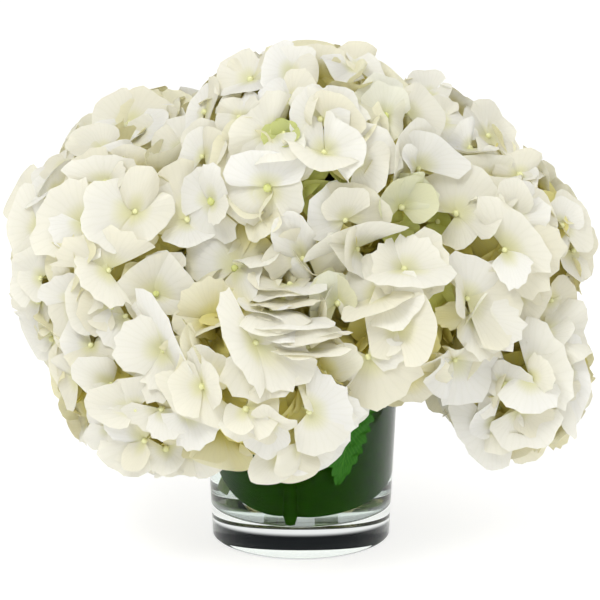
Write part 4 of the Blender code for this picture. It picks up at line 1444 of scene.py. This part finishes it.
def bare(place):
    """Whether a point at the front is near a pixel where the photograph looks past the flowers."""
    offset = place - LOOK_AT
    scale = FOCAL_PIXELS / (CAMERA_DISTANCE - offset.dot(view_back))
    across = FRAME_PIXELS / 2 + offset.dot(view_right) * scale
    down = FRAME_PIXELS / 2 - offset.dot(view_up) * scale
    return place.y < 0 and any(math.dist((across, down), spot) < room for spot, room in BARE)


def tilted(axis, most, draw):
    """An axis tilted at random by up to some degrees."""
    lean = math.radians(most) * math.sqrt(draw.random())
    swing = draw.uniform(0, 2 * math.pi)
    side = axis.orthogonal().normalized()
    other = axis.cross(side)
    lean_to = side * math.cos(swing) + other * math.sin(swing)
    return (axis * math.cos(lean) + lean_to * math.sin(lean)).normalized()


# %% A filling floret
CREAMIEST = 0.34
FACE_TILT = 14
OPENINGS = (
    ((6, 14, 8, 50), ("flat", "reflexed")),
    ((12, 44, 2, 58), ("flat", "ruffled")),
    ((30, 40, 34, 44), ("cupped", "flat")),
    ((20, 55, 14, 48), ("cupped", "folded")),
    ((44, 12, 58, 20), ("ruffled", "serrate")),
    ((-14, 4, -8, 10), ("reflexed", "serrate")),
    ((2, 20, 10, 16), ("serrate", "serrate")),
)


def filling_floret(place, axis, layer, draw):
    """The seats of a floret's four sepals and of its bud."""
    raises, kinds = draw.choice(OPENINGS)
    deep = layer["deep"]
    # The layer's yellow-green, partly painted shade, with a random cream tone on top.
    cream_and_shade = deep + (1 - deep) * CREAMIEST * draw.random() ** 2
    look = {"draw": draw, "deep": cream_and_shade, "young": 0.0, "bud": draw.random() ** 3, "proud": PROUD}
    side = axis.orthogonal().normalized()
    other = axis.cross(side)
    roll = draw.uniform(0, 360)
    size = draw.uniform(0.95, 1.22)
    sepals = []
    for order, raised in enumerate(raises):
        turn = math.radians(roll + 90 * order + draw.uniform(-14, 14))
        flat = side * math.cos(turn) + other * math.sin(turn)
        raised = math.radians((raised + draw.uniform(-8, 8)) * layer["opening"])
        along = flat * math.cos(raised) + axis * math.sin(raised)
        face = tilted(axis * math.cos(raised) - flat * math.sin(raised), FACE_TILT, draw)
        start = place + along * CLAW_OFFSET + axis * CLAW_STEP * (order % 2)
        length = SEPAL_LENGTH * size * draw.uniform(0.85, 1.15)
        width = FULL_WIDTH * size * draw.uniform(0.72, 1.15)
        sepals.append(sepal_seat(start, along, face, length, width, draw.choice(kinds), look))
    return sepals, bud_seat(place, axis, look)


# %% Layers of filling florets
# Deeper layers take more yellow-green: the colour of younger inner florets, and painted shade.
LAYERS = (
    {"depth": 10.5 * MM, "spacing": 23 * MM, "deep": 0.0, "tilt": 48, "opening": 1, "buds": True},
    {"depth": 19 * MM, "spacing": 25 * MM, "deep": 0.7, "tilt": 14, "opening": 0.3, "buds": True},
    {"depth": 27 * MM, "spacing": 28 * MM, "deep": 1.0, "tilt": 14, "opening": 0.3, "buds": False},
)
SEARCH_FROM = 0.25
SEARCH_TO = 1.35
SEARCH_STEPS = 120
HEXAGON_SHARE = 0.866
DISORDER = 0.2
UNEVEN = 2.5
STEM_ROOM = 5 * MM
STEM_SIDE = 0.95
CLOSEST = 0.74


def fill_layer(name, layer, taken, draw):
    """Sepals and buds of a head at one depth under the surface, clear of the florets that are there."""
    centre, reach = head_size(name)
    own = list(HEADS).index(name)
    depth, spacing = layer["depth"], layer["spacing"]
    stem_side = (stem_routes[name][-1] - centre).normalized()
    steps = np.linspace(SEARCH_FROM * reach, SEARCH_TO * reach, SEARCH_STEPS)
    count = round(4 * math.pi * (reach - depth) ** 2 / (spacing**2 * HEXAGON_SHARE))
    sepals, buds = [], []
    for direction in even_directions(count, draw.uniform(0, 6)):
        direction = tilted(direction, math.degrees(DISORDER * spacing / reach), draw)
        line = np.array(centre) + np.outer(steps, direction)
        outside, ways, nearest = bouquet_depth(line)
        index = int(np.argmax(outside > -depth + draw.uniform(-UNEVEN, UNEVEN) * MM))
        place = Vector(line[index])
        hidden = direction.dot(stem_side) > STEM_SIDE or in_vase(place, STEM_ROOM)
        if nearest[index] != own or hidden or bare(place):
            continue
        if any((place - other).length < CLOSEST * spacing for other in taken):
            continue
        taken.append(place)
        axis = tilted(Vector(ways[index]), layer["tilt"], draw)
        more, bud = filling_floret(place, axis, layer, draw)
        sepals += more
        buds.append(bud)
    return sepals, buds if layer["buds"] else []


# %% [markdown]
# Sepals press against each other and against the glass. A cloth simulation could bend them, but not
# thousands of them in a short time. Two soft clamps do it to the finished meshes: what stands out of the
# rounded surface is bent back, and what comes near the vase is pressed off it. They don't part sepals that
# pass through each other, and nearly all do somewhere. The same measure of depth paints shade into each
# sepal: it turns more yellow-green towards the middle of the head.

# %% Settling sepals against each other and the vase
# Painted shade: sepals turn yellow-green the deeper they lie inside the bouquet.
SHADE_YELLOW_FROM = 1 * MM
SHADE_YELLOW_ROOM = 9 * MM
SHADE_YELLOW_MOST = 0.95
VASE_GAP = 0.3 * MM
VASE_ROOM = 3.5 * MM
PROUD_ROOM = 0.4


def mesh_points(mesh):
    """The vertices of a mesh as an array."""
    flat = np.empty(3 * len(mesh.vertices))
    mesh.vertices.foreach_get("co", flat)
    return flat.reshape(-1, 3)


def soft_least(values, least, room):
    """Values that never fall below a least one, and change only where they come near it."""
    near = least + room
    eased = least + room * np.exp(np.minimum(values - near, 0) / room)
    return np.where(values < near, eased, values)


def paint_yellow_shade(mesh, outside):
    """Raises each vertex's share of yellow-green, a painted shade, by how far it lies inside the bouquet."""
    deep = np.empty(len(outside))
    mesh.attributes["deep"].data.foreach_get("value", deep)
    painted_yellow = SHADE_YELLOW_MOST * np.clip((-outside - SHADE_YELLOW_FROM) / SHADE_YELLOW_ROOM, 0, 1)
    mesh.attributes["deep"].data.foreach_set("value", np.maximum(deep, painted_yellow))


def settle(mesh):
    """Bends sepals back into the bouquet, presses them softly off the vase and paints yellow-green shade
    into their depths.
    """
    points = mesh_points(mesh)
    outside, ways, nearest = bouquet_depth(points)
    paint_yellow_shade(mesh, outside)
    proud = np.empty(len(points))
    mesh.attributes["proud"].data.foreach_get("value", proud)
    points += ways * (-soft_least(-outside, -proud, PROUD_ROOM * proud) - outside)[:, None]
    radius = np.hypot(points[:, 0], points[:, 1])
    sideways = radius - outer_radius(np.minimum(points[:, 2], VASE_HEIGHT))
    above = points[:, 2] - VASE_HEIGHT
    distance = np.maximum(sideways, above)
    push = soft_least(distance, VASE_GAP, VASE_ROOM) - distance
    beside = sideways >= above
    scale = 1 + np.where(beside, push / np.maximum(radius, MM), 0.0)
    points[:, 0] *= scale
    points[:, 1] *= scale
    points[:, 2] += np.where(beside, 0.0, push)
    mesh.vertices.foreach_set("co", points.ravel())


# %% [markdown]
# Each head is dressed in turn: the listed florets first, then its three layers of filling. The sepals are
# one mesh and the buds with their stalks another, because their finishes differ. The filling of each head
# has random numbers of its own, so a change to one head alters the others only where they meet it.

# %% Heads
HEAD_SEED = 40
SEPAL_WAVER = 3 * MM
taken_places = (hand_places, [], [])
for number, name in enumerate(HEADS):
    draw = random.Random(HEAD_SEED + number)
    sepals, buds = hand_seats[name]["sepals"], hand_seats[name]["buds"]
    for layer, taken in zip(LAYERS, taken_places):
        more_sepals, more_buds = fill_layer(name, layer, taken, draw)
        sepals += more_sepals
        buds += more_buds
    mesh = set_on_seats(f"sepals_{name}", sepals, sepal_kinds, SEPAL_WAVER, float(number), sepal_skin)
    settle(mesh)
    finish_piece(f"sepals_{name}", mesh, "sepals", f"head_{name}")
    mesh = set_on_seats(f"buds_{name}", buds, bud_kinds, 0.0, float(number), bud_skin)
    settle(mesh)
    finish_piece(f"buds_{name}", mesh, "stem", f"head_{name}")
    print(name, len(sepals), "sepals,", len(buds), "buds")

for kept in (*sepal_kinds.objects, *bud_kinds.objects):
    bpy.data.objects.remove(kept)
